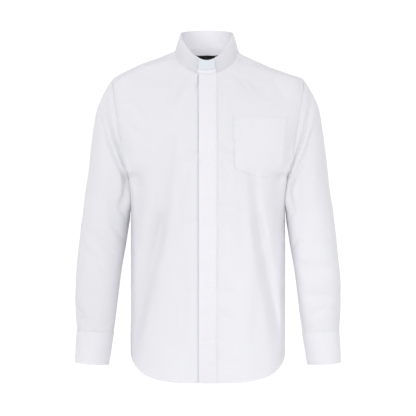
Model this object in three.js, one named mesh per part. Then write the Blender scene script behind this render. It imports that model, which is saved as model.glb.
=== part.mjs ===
// A clergy shirt with a tab collar, filled out as if someone wore it.
// Millimetres. +X is the wearer's left, -Y the front, +Z up.
// The origin is the middle of the neck base, level with the sides of the neck.
//
// Each cut piece is a wall of cloth between two grids of points. The outer grid comes from a
// surface function of the body, the neck or the sleeve, and the inner grid lies one wall inside.

import * as THREE from 'three';

const { lerp, clamp, smoothstep, degToRad, radToDeg } = THREE.MathUtils;

// Cloth and trim thicknesses
const CLOTH = 1.5;
const BAND = 2.0;
const TAB = 1.0;
const LABEL = 1.0;
const SEAM = 0.3;

// Body
const SECTION_POWER = 2.3;
const SHOULDER_POWER = 2.2;
const SHOULDER_DROP = 160;
const SHOULDER_SKEW = 4;
const SHOULDER_INSIDE_Z = -200;
const UNDERARM_Z = -300;
const SIDE_HEM_Z = -702;
const FRONT_HEM_Z = -770;
const BACK_HEM_Z = -780;
const HEM_HALF_WIDTH = 181;
const HEM_CURVE_POWER = 4.2;
const BACK_YOKE_Z = -95;
const BACK_ROW_POWER = 0.8;

// Shares of a panel over which its rows turn from the hem's curve to straight lines, over which
// it is drawn to the neckline, and over which its folds die out at an edge
const HEM_BLEND_SHARE = 0.3;
const NECK_DRAW_SHARE = 0.85;
const SIDE_CALM_SHARE = 0.08;
const TOP_CALM_SHARE = 0.03;
const STRIP_CALM_SHARE = 0.05;
const FLY_CALM_SHARE = 0.1;
const MISS_POWER = 3;

// Neck
const NECK_SHIFT_X = -3;
const NECK_BASE = { across: 74, deep: 62 };
const NECK_TOP = { across: 62, deep: 58 };
const FRONT_YOKE_ANGLE = 70;
const WINDOW_HALF_ANGLE = 18.2;
const NECK_CLEARANCE = 0.5;
const TAB_HALF_ANGLE = 25;
const UNDERLAP_HALF_ANGLE = 24;
const TAB_BOTTOM_LEVEL = 0.31;

// Front opening: the left front laps over the right, under the fly
const FLY_FREE_X = -20.5;
const FLY_STITCH_X = 20;
const LAP_EDGE_X = 21.5;
const LAP_STEP = 5;
const LAP_STEP_AT_NECK = 2.3;
const LAP_STEP_END_X = 29;
const FLY_BUTTONS = { count: 6, first: -135, pitch: 95, radius: 5.6, thick: 2 };

// Armhole ellipse, front view of its top and bottom, and half its depth
const ARMHOLE = { topX: 224, topZ: -68, bottomX: 188, bottomZ: UNDERARM_Z, depth: 65 };
const FRONT_YOKE_TURN = 26.3;
const BACK_YOKE_TURN = 39.9;

// The yoke's back corner, by its share of the way round and by its angle at the neck
const YOKE_CORNER_SHARE = 0.6;
const YOKE_CORNER_ANGLE = 112;

// Shares of a panel's height at which its side reaches the underarm and its middle the neck
const UNDERARM_SHARE = 0.6;
const NECK_SHARE = 0.9;

// The cuff's lap and the sleeve's opening lie at the back of the wrist
const LAP_TURN = degToRad(62);
const CUFF_LAP = 25;
const CUFF_RADIUS = 38;
const CUFF_EASING_TURN = 0.35;
const CUFF_BUTTON = { radius: 5.6, thick: 2.4 };
const SLEEVE_PLACKET = { halfWidth: 12, radius: 44, top: 0.775, bottom: 0.99, point: 0.12 };
const INNER_EDGE_POWER = 1.4;
const MILLIMETRES_A_DEGREE = 0.9;

// Rows of named columns, for the short tables below
function table(columns, rows) {
  return rows.map((row) => Object.fromEntries(columns.map((name, i) => [name, row[i]])));
}

// Horizontal sections of the body: half width, and depth in front of and behind the side seam.
// Above the underarm the width is that of the section which the armhole cuts off.
const BODY = table(['z', 'half', 'front', 'back'], [
  [-790, 181, 118, 122],
  [-700, 181, 118, 120],
  [-550, 181, 118, 112],
  [-450, 181, 120, 108],
  [-380, 181, 124, 112],
  [-340, 183.5, 127, 115],
  [-300, 188, 128, 118],
  [-250, 202, 126, 119],
  [-200, 216, 118, 118],
  [-150, 233, 103, 113],
  [-100, 244, 82, 104],
  [-64, 248, 63, 96],
  [0, 252, 56, 80],
  [60, 254, 50, 70],
]);

// Height of the shoulder line by distance from the middle, carried on inside the neck
const RIDGE = table(['x', 'z'], [
  [0, 63],
  [37, 44],
  [64, 13],
  [76, -2],
  [100, -13],
  [122, -22],
  [158, -37],
  [190, -51],
  [205, -57],
  [225, -68],
  [260, -90],
]);

// Heights of the neckband's seam and of its top edge by angle from the middle of the front
const NECK = table(['angle', 'base', 'top'], [
  [0, -64, -28],
  [10, -62.5, -26],
  [30, -53, -15],
  [50, -38, 5],
  [70, -20, 24],
  [90, -3, 38],
  [120, 4, 46],
  [150, 7, 51],
  [180, 8, 53],
]);

// Outer and inner edge of the sleeve in the front view, from the armhole to the cuff seam.
// The length column is the distance along the edge.
const SLEEVE_OUTER = table(['length', 'x', 'z'], [
  [0, 224, -68],
  [33, 242, -96],
  [68, 257, -127],
  [96, 264.5, -154],
  [165, 274, -222],
  [281, 288, -337],
  [394, 302, -450],
  [462, 308, -517],
  [518, 310, -573],
  [556, 310, -611],
  [582, 308, -637],
  [601, 305.5, -656],
]);
const SLEEVE_INNER = table(['length', 'x', 'z'], [
  [0, 188, -300],
  [40, 185.2, -340],
  [77, 182.9, -377],
  [100, 183.6, -400],
  [116, 186, -416],
  [160, 192.5, -460],
  [218, 202, -517],
  [275, 209, -573],
  [313, 213.5, -611],
  [362, 220, -660],
]);

// Half depth of the sleeve and the place of its middle line, by share of its length
const SLEEVE_ROUND = table(['share', 'depth', 'y'], [
  [0, 65, 0],
  [0.15, 68, 2],
  [0.3, 66, 2],
  [0.5, 58, -2],
  [0.75, 49, -14],
  [0.93, 43, -21],
  [1, 36, -24],
]);
const CUFF_ENDS = {
  seam: { outer: [305.5, -656], inner: [220, -660], depth: 36, y: -24 },
  hem: { outer: [309.5, -731], inner: [232.4, -737], depth: 40, y: -26 },
};

// Long soft folds, as troughs between two points of the front view (back view for the back)
const FRONT_FOLDS = table(['x1', 'z1', 'x2', 'z2', 'depth', 'width'], [
  [-76, -235, -160, -715, 7, 16],
  [100, -318, 163, -660, 6, 15],
  [-50, -530, -58, -712, 3, 12],
  [-186, -165, -90, -223, 4, 16],
  [96, -76, 132, -112, 3, 12],
  [-58, -84, -84, -122, 2.5, 10],
  [-160, -330, -176, -470, 3, 14],
  [166, -330, 172, -430, 3, 14],
]);
const BACK_FOLDS = table(['x1', 'z1', 'x2', 'z2', 'depth', 'width'], [
  [-62, -150, -88, -470, 5, 18],
  [74, -170, 96, -520, 5, 17],
  [-108, -430, -146, -735, 7, 17],
  [128, -470, 142, -735, 6, 16],
  [8, -420, -14, -745, 4, 18],
  [-170, -200, -112, -262, 4, 15],
  [172, -215, 118, -270, 4, 15],
]);

// Sleeve folds run from one point to another of the unrolled sleeve: x is millimetres round
// from its outer line, forwards negative, and z is millimetres down from the armhole.
const RIGHT_SLEEVE_FOLDS = table(['x1', 'z1', 'x2', 'z2', 'depth', 'width'], [
  [-20, 34, -120, 66, 6, 12],
  [-40, 78, -118, 130, 4, 12],
  [-50, 352, -112, 380, 4, 13],
  [-100, 300, -150, 330, 3.5, 13],
  [-12, 545, -50, 560, 4, 11],
  [60, 60, 120, 90, 5, 13],
  [56, 330, 118, 352, 5, 14],
  [40, 396, 100, 426, 3, 13],
]);
const LEFT_SLEEVE_FOLDS = table(['x1', 'z1', 'x2', 'z2', 'depth', 'width'], [
  [-22, 38, -126, 70, 6, 12],
  [-58, 90, -104, 150, 4, 12],
  [-60, 446, -116, 404, 4.5, 13],
  [-46, 520, -104, 498, 4, 12],
  [-96, 320, -140, 345, 3, 13],
  [60, 62, 124, 88, 5, 13],
  [58, 345, 120, 366, 5, 14],
  [38, 428, 98, 404, 3, 13],
]);

// Smooth curve through one column of a table
function read(rows, key, column, at) {
  const last = rows.length - 1;
  const x = clamp(at, rows[0][key], rows[last][key]);
  let i = 0;
  while (i < last - 1 && x > rows[i + 1][key]) i += 1;
  const slope = (k) => {
    const before = rows[Math.max(k - 1, 0)];
    const after = rows[Math.min(k + 1, last)];
    return (after[column] - before[column]) / (after[key] - before[key]);
  };
  const step = rows[i + 1][key] - rows[i][key];
  const t = (x - rows[i][key]) / step;
  const a = rows[i][column];
  const b = rows[i + 1][column];
  const bend = (1 - t) * (slope(i) * step - (b - a)) - t * (slope(i + 1) * step - (b - a));
  return lerp(a, b, t) + t * (1 - t) * bend;
}

// Depth of the folds at one point, each a trough with soft ends
function foldDepth(folds, x, z) {
  let depth = 0;
  for (const fold of folds) {
    const runX = fold.x2 - fold.x1;
    const runZ = fold.z2 - fold.z1;
    const along = ((x - fold.x1) * runX + (z - fold.z1) * runZ) / (runX ** 2 + runZ ** 2);
    const t = clamp(along, 0, 1);
    const away = Math.hypot(x - fold.x1 - t * runX, z - fold.z1 - t * runZ);
    const taper = Math.sqrt(Math.sin(Math.PI * (0.08 + 0.84 * t)));
    depth += fold.depth * taper * Math.exp(-((away / fold.width) ** 2));
  }
  return depth;
}

// Body surface

function sectionDepth(x, z, face) {
  const share = Math.min(Math.abs(x) / read(BODY, 'z', 'half', z), 1);
  const round = (1 - share ** SECTION_POWER) ** (1 / SECTION_POWER);
  return read(BODY, 'z', face, z) * round;
}

function ridgeHeight(x) {
  const share = clamp((Math.abs(x) - NECK_BASE.across) / (ARMHOLE.topX - NECK_BASE.across), 0, 1);
  const skew = SHOULDER_SKEW * Math.sin(Math.PI * share) * Math.sign(x);
  return read(RIDGE, 'x', 'z', Math.abs(x)) - skew;
}

// How far the body has come out to its full depth, at this height below the shoulder line
function fullness(x, z) {
  const drop = clamp((ridgeHeight(x) - z) / SHOULDER_DROP, 0, 1);
  return (1 - (1 - drop) ** SHOULDER_POWER) ** (1 / SHOULDER_POWER);
}

function frontY(x, z) {
  return -sectionDepth(x, z, 'front') * fullness(x, z);
}

function backY(x, z) {
  return sectionDepth(x, z, 'back') * fullness(x, z);
}

// A point of the shoulder, by distance from the middle and by turn from the shoulder line,
// forwards negative
function shoulderPoint(x, turn) {
  const rise = Math.cos(turn) ** (2 / SHOULDER_POWER);
  const reach = Math.abs(Math.sin(turn)) ** (2 / SHOULDER_POWER);
  const z = ridgeHeight(x) - SHOULDER_DROP * (1 - rise);
  const face = turn < 0 ? 'front' : 'back';
  return [x, Math.sign(turn) * sectionDepth(x, z, face) * reach, z];
}

function shoulderTurn([x, y, z]) {
  const depth = sectionDepth(x, z, y < 0 ? 'front' : 'back');
  const reach = clamp(Math.abs(y) / depth, 0, 1) ** (SHOULDER_POWER / 2);
  return Math.sign(y) * Math.asin(reach);
}

// Edges that pieces share. A side is 1 for the wearer's left and -1 for the right, and x in
// these functions is counted outwards from the middle of the body.

function neckPoint(side, angle, level = 0, inset = 0) {
  const turn = degToRad(angle);
  const across = lerp(NECK_BASE.across, NECK_TOP.across, level) - inset;
  const deep = lerp(NECK_BASE.deep, NECK_TOP.deep, level) - inset;
  const fromFront = 180 - Math.abs(180 - Math.abs(angle));
  const base = read(NECK, 'angle', 'base', fromFront);
  const top = read(NECK, 'angle', 'top', fromFront);
  const x = side * NECK_SHIFT_X + across * Math.sin(turn);
  return [x, -deep * Math.cos(turn), lerp(base, top, level)];
}

// The panels end just outside the band
function necklinePoint(side, angle) {
  return neckPoint(side, angle, 0, -NECK_CLEARANCE);
}

function neckAngleAt(side, x) {
  return radToDeg(Math.asin((x - side * NECK_SHIFT_X) / NECK_BASE.across));
}

// Turn is from the top of the armhole, forwards negative
function armholePoint(turn) {
  const share = (1 + Math.cos(degToRad(turn))) / 2;
  const x = lerp(ARMHOLE.bottomX, ARMHOLE.topX, share);
  const z = lerp(ARMHOLE.bottomZ, ARMHOLE.topZ, share);
  return [x, ARMHOLE.depth * Math.sin(degToRad(turn)), z];
}

function hemHeight(x, middle) {
  const share = clamp(Math.abs(x) / HEM_HALF_WIDTH, 0, 1);
  return lerp(middle, SIDE_HEM_Z, 1 - Math.sqrt(1 - share ** HEM_CURVE_POWER));
}

const YOKE_CORNER = armholePoint(BACK_YOKE_TURN);

function backSeamPoint(side, x) {
  const share = x / YOKE_CORNER[0];
  const miss = YOKE_CORNER[1] - backY(side * YOKE_CORNER[0], YOKE_CORNER[2]);
  const y = backY(side * x, BACK_YOKE_Z) + miss * share ** MISS_POWER;
  return [x, y, lerp(BACK_YOKE_Z, YOKE_CORNER[2], share)];
}

// The yoke. Round runs from 0 at the middle of the back to 1 at the front seam, and out from
// 0 at the neck to 1 at the armhole or the back seam.
function yokePoint(side, round, out) {
  const past = clamp((round - YOKE_CORNER_SHARE) / (1 - YOKE_CORNER_SHARE), 0, 1);
  const before = clamp(round / YOKE_CORNER_SHARE, 0, 1);
  const angle = past > 0
    ? lerp(YOKE_CORNER_ANGLE, FRONT_YOKE_ANGLE, past)
    : lerp(180, YOKE_CORNER_ANGLE, before);
  const inner = necklinePoint(side, angle);
  const turn = lerp(BACK_YOKE_TURN, -FRONT_YOKE_TURN, past);
  const outer = past > 0 ? armholePoint(turn) : backSeamPoint(side, YOKE_CORNER[0] * before);
  const ends = [inner, outer].map(([x, y, z]) => {
    const shoulder = shoulderTurn([side * x, y, z]);
    const raw = shoulderPoint(side * x, shoulder);
    return { x, shoulder, miss: [x - side * raw[0], y - raw[1], z - raw[2]] };
  });
  const x = lerp(ends[0].x, ends[1].x, out);
  const raw = shoulderPoint(side * x, lerp(ends[0].shoulder, ends[1].shoulder, out));
  const miss = ends[0].miss.map((value, i) => lerp(value, ends[1].miss[i], out));
  return [side * (x + miss[0]), raw[1] + miss[1], raw[2] + miss[2]];
}

// A front. Across runs from -1 at the edge under the fly, through 0 at the fly's stitching, to
// 1 at the side seam or armhole. Up runs from 0 at the hem to 1 at the yoke seam. The strip under
// the fly ends at the neckline, and past it the panel fans out along the neck to the yoke.
function frontPoint(side, stripEdge, freeEdge, across, up) {
  if (across > 0) return frontMainPoint(side, stripEdge, across, up);
  if (up > NECK_SHARE) return frontMainPoint(side, stripEdge, 0, up);
  return frontStripPoint(side, stripEdge, freeEdge, across, up);
}

function neckMiss(side, angle) {
  const [x, y, z] = necklinePoint(side, angle);
  return y - frontY(side * x, z);
}

function frontStripPoint(side, stripEdge, freeEdge, across, up) {
  const rise = up / NECK_SHARE;
  const x = lerp(stripEdge, freeEdge, -across);
  const angle = neckAngleAt(side, x);
  const z = lerp(hemHeight(x, FRONT_HEM_Z), necklinePoint(side, angle)[2], rise);
  const drawn = neckMiss(side, angle) * smoothstep(rise, NECK_DRAW_SHARE, 1);
  const fold = foldDepth(FRONT_FOLDS, side * x, z) * smoothstep(1 - rise, 0, STRIP_CALM_SHARE);
  return [side * x, frontY(side * x, z) + drawn + fold, z];
}

function frontMainPoint(side, stripEdge, across, up) {
  const rise = Math.min(up / NECK_SHARE, 1);
  const fan = clamp((up - NECK_SHARE) / (1 - NECK_SHARE), 0, 1);
  const angle = lerp(neckAngleAt(side, stripEdge), FRONT_YOKE_ANGLE, fan);
  const neck = necklinePoint(side, angle);
  const hemEdge = hemHeight(stripEdge, FRONT_HEM_Z);
  const innerX = fan > 0 ? neck[0] : stripEdge;
  const innerZ = fan > 0 ? neck[2] : lerp(hemEdge, neck[2], rise);
  const arm = clamp((up - UNDERARM_SHARE) / (1 - UNDERARM_SHARE), 0, 1);
  const outer = armholePoint(-lerp(180, FRONT_YOKE_TURN, arm));
  const outerZ = arm > 0 ? outer[2] : lerp(SIDE_HEM_Z, UNDERARM_Z, up / UNDERARM_SHARE);
  const roundStep = Math.sin(across * Math.PI / 2) ** (2 / SECTION_POWER);
  const step = lerp(roundStep, across, smoothstep(up, UNDERARM_SHARE, NECK_SHARE));
  const hemX = lerp(stripEdge, HEM_HALF_WIDTH, roundStep);
  const hemShare = (hemHeight(hemX, FRONT_HEM_Z) - hemEdge) / (SIDE_HEM_Z - hemEdge);
  const z = lerp(innerZ, outerZ, lerp(hemShare, step, smoothstep(up, 0, HEM_BLEND_SHARE)));
  const x = lerp(innerX, arm > 0 ? outer[0] : read(BODY, 'z', 'half', z), step);
  const outerMiss = arm > 0 ? outer[1] - frontY(side * outer[0], outer[2]) : 0;
  const innerMiss = neckMiss(side, angle) * smoothstep(rise, NECK_DRAW_SHARE, 1);
  const sideCalm = smoothstep(1 - across, 0, SIDE_CALM_SHARE);
  const topCalm = smoothstep(1 - up, 0, TOP_CALM_SHARE);
  const neckCalm = rise === 1 ? smoothstep(across, 0, FLY_CALM_SHARE) : 1;
  const fold = foldDepth(FRONT_FOLDS, side * x, z) * sideCalm * topCalm * neckCalm;
  const misses = innerMiss * (1 - across) ** MISS_POWER + outerMiss * across ** MISS_POWER;
  const spot = [side * x, frontY(side * x, z) + misses + fold, z];
  if (fan === 0) return spot;
  const pull = smoothstep(fan, 0, 1);
  return yokeSeamMiss(side, across).map((value, i) => spot[i] + value * pull);
}

// From the front's own surface at its top row to the seam that the yoke gives
function yokeSeamMiss(side, across) {
  const seam = yokePoint(side, 1, across);
  const neck = necklinePoint(side, FRONT_YOKE_ANGLE);
  const arm = armholePoint(-FRONT_YOKE_TURN);
  const x = lerp(neck[0], arm[0], across);
  const z = lerp(neck[2], arm[2], across);
  const innerMiss = neckMiss(side, FRONT_YOKE_ANGLE);
  const outerMiss = arm[1] - frontY(side * arm[0], arm[2]);
  const misses = innerMiss * (1 - across) ** MISS_POWER + outerMiss * across ** MISS_POWER;
  return [seam[0] - side * x, seam[1] - frontY(side * x, z) - misses, seam[2] - z];
}

// The back. Across runs from -1 to 1 between the side seams, up from the hem to the yoke seam.
function backPoint(across, up) {
  const side = across < 0 ? -1 : 1;
  const share = Math.abs(across);
  const arm = clamp((up - UNDERARM_SHARE) / (1 - UNDERARM_SHARE), 0, 1);
  const outer = armholePoint(lerp(180, BACK_YOKE_TURN, arm));
  const outerZ = arm > 0 ? outer[2] : lerp(SIDE_HEM_Z, UNDERARM_Z, up / UNDERARM_SHARE);
  const middleZ = lerp(BACK_HEM_Z, BACK_YOKE_Z, up ** BACK_ROW_POWER);
  const roundStep = Math.sin(share * Math.PI / 2) ** (2 / SECTION_POWER);
  const step = lerp(roundStep, share, smoothstep(up, UNDERARM_SHARE, 1));
  const hemZ = hemHeight(HEM_HALF_WIDTH * roundStep, BACK_HEM_Z);
  const hemShare = (hemZ - BACK_HEM_Z) / (SIDE_HEM_Z - BACK_HEM_Z);
  const z = lerp(middleZ, outerZ, lerp(hemShare, step, smoothstep(up, 0, HEM_BLEND_SHARE)));
  const x = step * (arm > 0 ? outer[0] : read(BODY, 'z', 'half', z));
  const miss = arm > 0 ? outer[1] - backY(side * outer[0], outer[2]) : 0;
  const calm = smoothstep(1 - share, 0, SIDE_CALM_SHARE) * smoothstep(1 - up, 0, TOP_CALM_SHARE);
  const fold = foldDepth(BACK_FOLDS, side * x, z) * calm;
  return [side * x, backY(side * x, z) + miss * step ** MISS_POWER - fold, z];
}

// A sleeve ring, flat, from a point on the outer edge to one on the inner edge
function ringPoint(ring, turn, inset) {
  const runX = ring.inner[0] - ring.outer[0];
  const runZ = ring.inner[1] - ring.outer[1];
  const half = Math.hypot(runX, runZ) / 2;
  const share = 0.5 - 0.5 * Math.cos(turn) * (half - inset) / half;
  const x = ring.outer[0] + runX * share;
  const z = ring.outer[1] + runZ * share;
  return [x, ring.y + (ring.depth - inset) * Math.sin(turn), z];
}

const OUTER_LENGTH = SLEEVE_OUTER.at(-1).length;
const INNER_LENGTH = SLEEVE_INNER.at(-1).length;

// Share runs down the sleeve. Its folds die out at the armhole and at the cuff.
function sleevePoint(side, share, turn, inset = 0) {
  const outer = OUTER_LENGTH * share;
  const inner = INNER_LENGTH * share ** INNER_EDGE_POWER;
  const ring = {
    outer: ['x', 'z'].map((column) => read(SLEEVE_OUTER, 'length', column, outer)),
    inner: ['x', 'z'].map((column) => read(SLEEVE_INNER, 'length', column, inner)),
    depth: read(SLEEVE_ROUND, 'share', 'depth', share),
    y: read(SLEEVE_ROUND, 'share', 'y', share),
  };
  const folds = side > 0 ? LEFT_SLEEVE_FOLDS : RIGHT_SLEEVE_FOLDS;
  const degrees = radToDeg(Math.atan2(Math.sin(turn), Math.cos(turn)));
  const calm = smoothstep(share, 0.01, 0.06) * smoothstep(1 - share, 0, 0.04);
  const fold = foldDepth(folds, degrees * MILLIMETRES_A_DEGREE, outer) * calm;
  const [x, y, z] = ringPoint(ring, turn, inset + fold);
  return [side * x, y, z];
}

// Walls of cloth

function even(from, to, count) {
  return Array.from({ length: count + 1 }, (_, i) => lerp(from, to, i / count));
}

function vector(point) {
  return new THREE.Vector3(...point);
}

// Surface normal of a point function, turned the way that the outward function points
function normalAt(point, u, v, range, outward) {
  const reach = 1e-4;
  const du = reach * (range.u[1] - range.u[0]);
  const dv = reach * (range.v[1] - range.v[0]);
  const at = (a, b) => vector(point(clamp(a, ...range.u), clamp(b, ...range.v)));
  const alongU = at(u + du, v).sub(at(u - du, v));
  const alongV = at(u, v + dv).sub(at(u, v - dv));
  const normal = alongU.cross(alongV).normalize();
  return normal.dot(outward(at(u, v))) < 0 ? normal.negate() : normal;
}

function torsoOutward(point) {
  return new THREE.Vector3(0.5 * point.x, point.y, Math.max(point.z - SHOULDER_INSIDE_Z, 0));
}

// Move the edge rows of a grid back from the seam
function pullEdges(grid, gap, edges) {
  const rows = grid.length;
  const columns = grid[0].length;
  const toward = (edge, next) => edge.addScaledVector(next.clone().sub(edge).normalize(), gap);
  for (let j = 0; edges.includes('u') && j < columns; j += 1) {
    toward(grid[0][j], grid[1][j]);
    toward(grid[rows - 1][j], grid[rows - 2][j]);
  }
  for (let i = 0; edges.includes('v') && i < rows; i += 1) {
    toward(grid[i][0], grid[i][1]);
    toward(grid[i][columns - 1], grid[i][columns - 2]);
  }
}

// Closed solid between two grids, with a rim wherever the kept cells end
function shell(outer, inner, { wrap = false, keep = () => true } = {}) {
  const rows = outer.length;
  const columns = outer[0].length;
  const cells = wrap ? rows : rows - 1;
  const inside = (i, j) => {
    const row = wrap ? (i + cells) % cells : i;
    return row >= 0 && row < cells && j >= 0 && j < columns - 1 && keep(row, j);
  };
  const outerId = (i, j) => (i % rows) * columns + j;
  const innerId = (i, j) => rows * columns + outerId(i, j);
  const faces = [];
  const quad = (a, b, c, d) => faces.push(a, b, c, a, c, d);
  for (let i = 0; i < cells; i += 1) {
    for (let j = 0; j < columns - 1; j += 1) {
      if (!inside(i, j)) continue;
      const corners = [[i, j], [i + 1, j], [i + 1, j + 1], [i, j + 1]];
      const past = [[i, j - 1], [i + 1, j], [i, j + 1], [i - 1, j]];
      quad(...corners.map(([a, b]) => outerId(a, b)));
      quad(...corners.map(([a, b]) => innerId(a, b)).reverse());
      for (let k = 0; k < 4; k += 1) {
        if (inside(...past[k])) continue;
        const from = corners[k];
        const to = corners[(k + 1) % 4];
        quad(outerId(...to), outerId(...from), innerId(...from), innerId(...to));
      }
    }
  }
  const used = [...new Set(faces)];
  const renumber = new Map(used.map((id, i) => [id, i]));
  const points = [...outer.flat(), ...inner.flat()];
  const geometry = new THREE.BufferGeometry();
  const flat = used.flatMap((id) => points[id].toArray());
  let index = faces.map((id) => renumber.get(id));
  if (signedVolume(flat, index) < 0) index = index.reverse();
  geometry.setAttribute('position', new THREE.Float32BufferAttribute(flat, 3));
  geometry.setIndex(index);
  geometry.computeVertexNormals();
  return geometry;
}

function signedVolume(flat, index) {
  const corner = (k) => new THREE.Vector3().fromArray(flat, 3 * index[k]);
  let volume = 0;
  for (let k = 0; k < index.length; k += 3) {
    volume += corner(k).dot(corner(k + 1).cross(corner(k + 2))) / 6;
  }
  return volume;
}

// A panel with its wall inside its surface. Lift moves it out, to lie on another panel.
// A seam function gives the neighbour's normal along the top edge, so that the rims are parallel.
function panel({ point, us, vs, wall, outward = torsoOutward, lift = 0, pull = 'uv', keep, seam }) {
  const range = { u: [us[0], us.at(-1)], v: [vs[0], vs.at(-1)] };
  const outer = us.map((u) => vs.map((v) => vector(point(u, v))));
  const normals = us.map((u) => vs.map((v) => (
    seam && v === range.v[1] ? seam(Math.max(u, 0)) : normalAt(point, u, v, range, outward)
  )));
  pullEdges(outer, SEAM / 2, pull);
  const raised = (amount) => outer.map((row, i) => row.map((spot, j) => {
    const away = typeof amount === 'function' ? amount(us[i], vs[j]) : amount;
    return spot.clone().addScaledVector(normals[i][j], away);
  }));
  const liftAt = typeof lift === 'function' ? lift : () => lift;
  return shell(raised(liftAt), raised((u, v) => liftAt(u, v) - wall), { keep });
}

// Pieces

const shirt = new THREE.Group();

const FINISHES = {
  poplin: { color: 0xe8eaed, roughness: 0.85, metalness: 0 },
  fused: { color: 0xeceef1, roughness: 0.8, metalness: 0 },
  tab: { color: 0xe4e9ee, roughness: 0.45, metalness: 0 },
  button: { color: 0xf1f0ec, roughness: 0.3, metalness: 0 },
  label: { color: 0x0a0a0c, roughness: 0.6, metalness: 0 },
};

function add(name, geometry, finish) {
  const mesh = new THREE.Mesh(geometry, new THREE.MeshStandardMaterial(FINISHES[finish]));
  mesh.name = name;
  shirt.add(mesh);
  return mesh;
}

// Rows and columns of the grids, closer together where the form turns faster
const HEM_ROWS_SHARE = 0.08;
const LAP_COLUMN = 0.025;
const FRONT_ROWS = [
  ...even(0, HEM_ROWS_SHARE, 3),
  ...even(HEM_ROWS_SHARE, UNDERARM_SHARE, 11).slice(1),
  ...even(UNDERARM_SHARE, NECK_SHARE, 8).slice(1),
  ...even(NECK_SHARE, 1, 5).slice(1),
];
const NECK_ROW = FRONT_ROWS.indexOf(NECK_SHARE);
const STRIP_COLUMNS = [-1, -0.5, 0];
const MAIN_COLUMNS = [
  ...even(0, FLY_CALM_SHARE, 2).slice(1),
  ...even(FLY_CALM_SHARE, 1, 11).slice(1),
];
const SLEEVE_SHARES = [
  0, 0.03, 0.07, 0.12, 0.17, 0.23, 0.3, 0.37, 0.44, 0.51, 0.57, 0.63, 0.69, 0.75, 0.81, 0.87,
  0.92, 0.96, 1,
];
const SLEEVE_TURNS = even(0, 2 * Math.PI, 24).slice(0, -1);

function leftFront(across, up) {
  return frontPoint(1, FLY_STITCH_X, FLY_FREE_X, across, up);
}

function rightFront(across, up) {
  return frontPoint(-1, LAP_EDGE_X, 2 - LAP_EDGE_X, across, up);
}

// The right front goes in behind the left one where they lap
function lapLift(across, up) {
  const x = -rightFront(across, up)[0];
  const nearNeck = smoothstep(up / NECK_SHARE, NECK_DRAW_SHARE, 1);
  const step = lerp(LAP_STEP, LAP_STEP_AT_NECK, nearNeck);
  return -step * (1 - smoothstep(x, LAP_EDGE_X, LAP_STEP_END_X));
}

function addFronts() {
  const us = [...STRIP_COLUMNS, ...MAIN_COLUMNS];
  const keep = (i, j) => i >= STRIP_COLUMNS.length - 1 || j < NECK_ROW;
  const rightUs = [...STRIP_COLUMNS, LAP_COLUMN, ...MAIN_COLUMNS];
  const range = { u: [0, 1], v: [0, 1] };
  const seam = (side) => (across) => (
    normalAt((round, out) => yokePoint(side, round, out), 1, across, range, torsoOutward)
  );
  const left = { point: leftFront, us, seam: seam(1) };
  const right = { point: rightFront, us: rightUs, seam: seam(-1), lift: lapLift };
  const shared = { vs: FRONT_ROWS, wall: CLOTH, keep };
  add('front_left', panel({ ...shared, ...left }), 'poplin');
  add('front_right', panel({ ...shared, ...right }), 'poplin');
}

// What lies on a panel clears it by one seam gap and the rounding of its folds
const STRIP_LIFT = CLOTH + SEAM + 0.2;

function addFly() {
  const shape = { point: leftFront, us: STRIP_COLUMNS, vs: FRONT_ROWS.slice(0, NECK_ROW + 1) };
  add('fly_placket', panel({ ...shape, wall: CLOTH, lift: STRIP_LIFT }), 'fused');
}

function addBack() {
  const vs = [...even(0, HEM_ROWS_SHARE, 3), ...even(HEM_ROWS_SHARE, 1, 19).slice(1)];
  add('back', panel({ point: backPoint, us: even(-1, 1, 30), vs, wall: CLOTH }), 'poplin');
}

function yokeAround(round, out) {
  return yokePoint(round < 0 ? -1 : 1, Math.abs(round), out);
}

function addYoke() {
  const half = [...even(0, YOKE_CORNER_SHARE, 10), ...even(YOKE_CORNER_SHARE, 1, 6).slice(1)];
  const us = [...half.slice(1).map((u) => -u).reverse(), ...half];
  const vs = [0, ...MAIN_COLUMNS];
  add('yoke', panel({ point: yokeAround, us, vs, wall: CLOTH }), 'poplin');
}

// Part of the band round the neck, by angle from the front and by level up its height
function bandPart(angles, levels, inset, wall) {
  const grid = (deeper) => angles.map((angle) => levels.map((level) => {
    const [x, y, z] = neckPoint(1, angle, level, inset + deeper);
    return new THREE.Vector3(x, y, z + SEAM);
  }));
  return shell(grid(0), grid(wall));
}

function addCollar() {
  const round = even(WINDOW_HALF_ANGLE, 360 - WINDOW_HALF_ANGLE, 40);
  add('neckband', bandPart(round, even(0, 1, 4), 0, BAND), 'fused');
  const tabInset = BAND + SEAM;
  const tab = even(-TAB_HALF_ANGLE, TAB_HALF_ANGLE, 8);
  add('collar_tab', bandPart(tab, even(TAB_BOTTOM_LEVEL, 0.99, 3), tabInset, TAB), 'tab');
  const lap = even(-UNDERLAP_HALF_ANGLE, UNDERLAP_HALF_ANGLE, 10);
  const lapInset = tabInset + TAB + SEAM;
  add('neckband_underlap', bandPart(lap, even(0, 0.96, 3), lapInset, CLOTH), 'fused');
}

// Find the front panel's own coordinates for a point of the front view, by Newton's method
function onLeftFront(x, z) {
  const inside = (share) => clamp(share, 0.01, 0.99);
  let across = inside((x - FLY_STITCH_X) / (BODY[0].half - FLY_STITCH_X));
  let up = inside((z - FRONT_HEM_Z) / (NECK[0].base - FRONT_HEM_Z) * NECK_SHARE);
  const reach = 1e-4;
  for (let step = 0; step < 12; step += 1) {
    const here = leftFront(across, up);
    const right = leftFront(across + reach, up);
    const above = leftFront(across, up + reach);
    const a = (right[0] - here[0]) / reach;
    const b = (above[0] - here[0]) / reach;
    const c = (right[2] - here[2]) / reach;
    const d = (above[2] - here[2]) / reach;
    const missX = x - here[0];
    const missZ = z - here[2];
    const scale = 1 / (a * d - b * c);
    across = inside(across + (d * missX - b * missZ) * scale);
    up = inside(up + (a * missZ - c * missX) * scale);
  }
  return leftFront(across, up);
}

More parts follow.
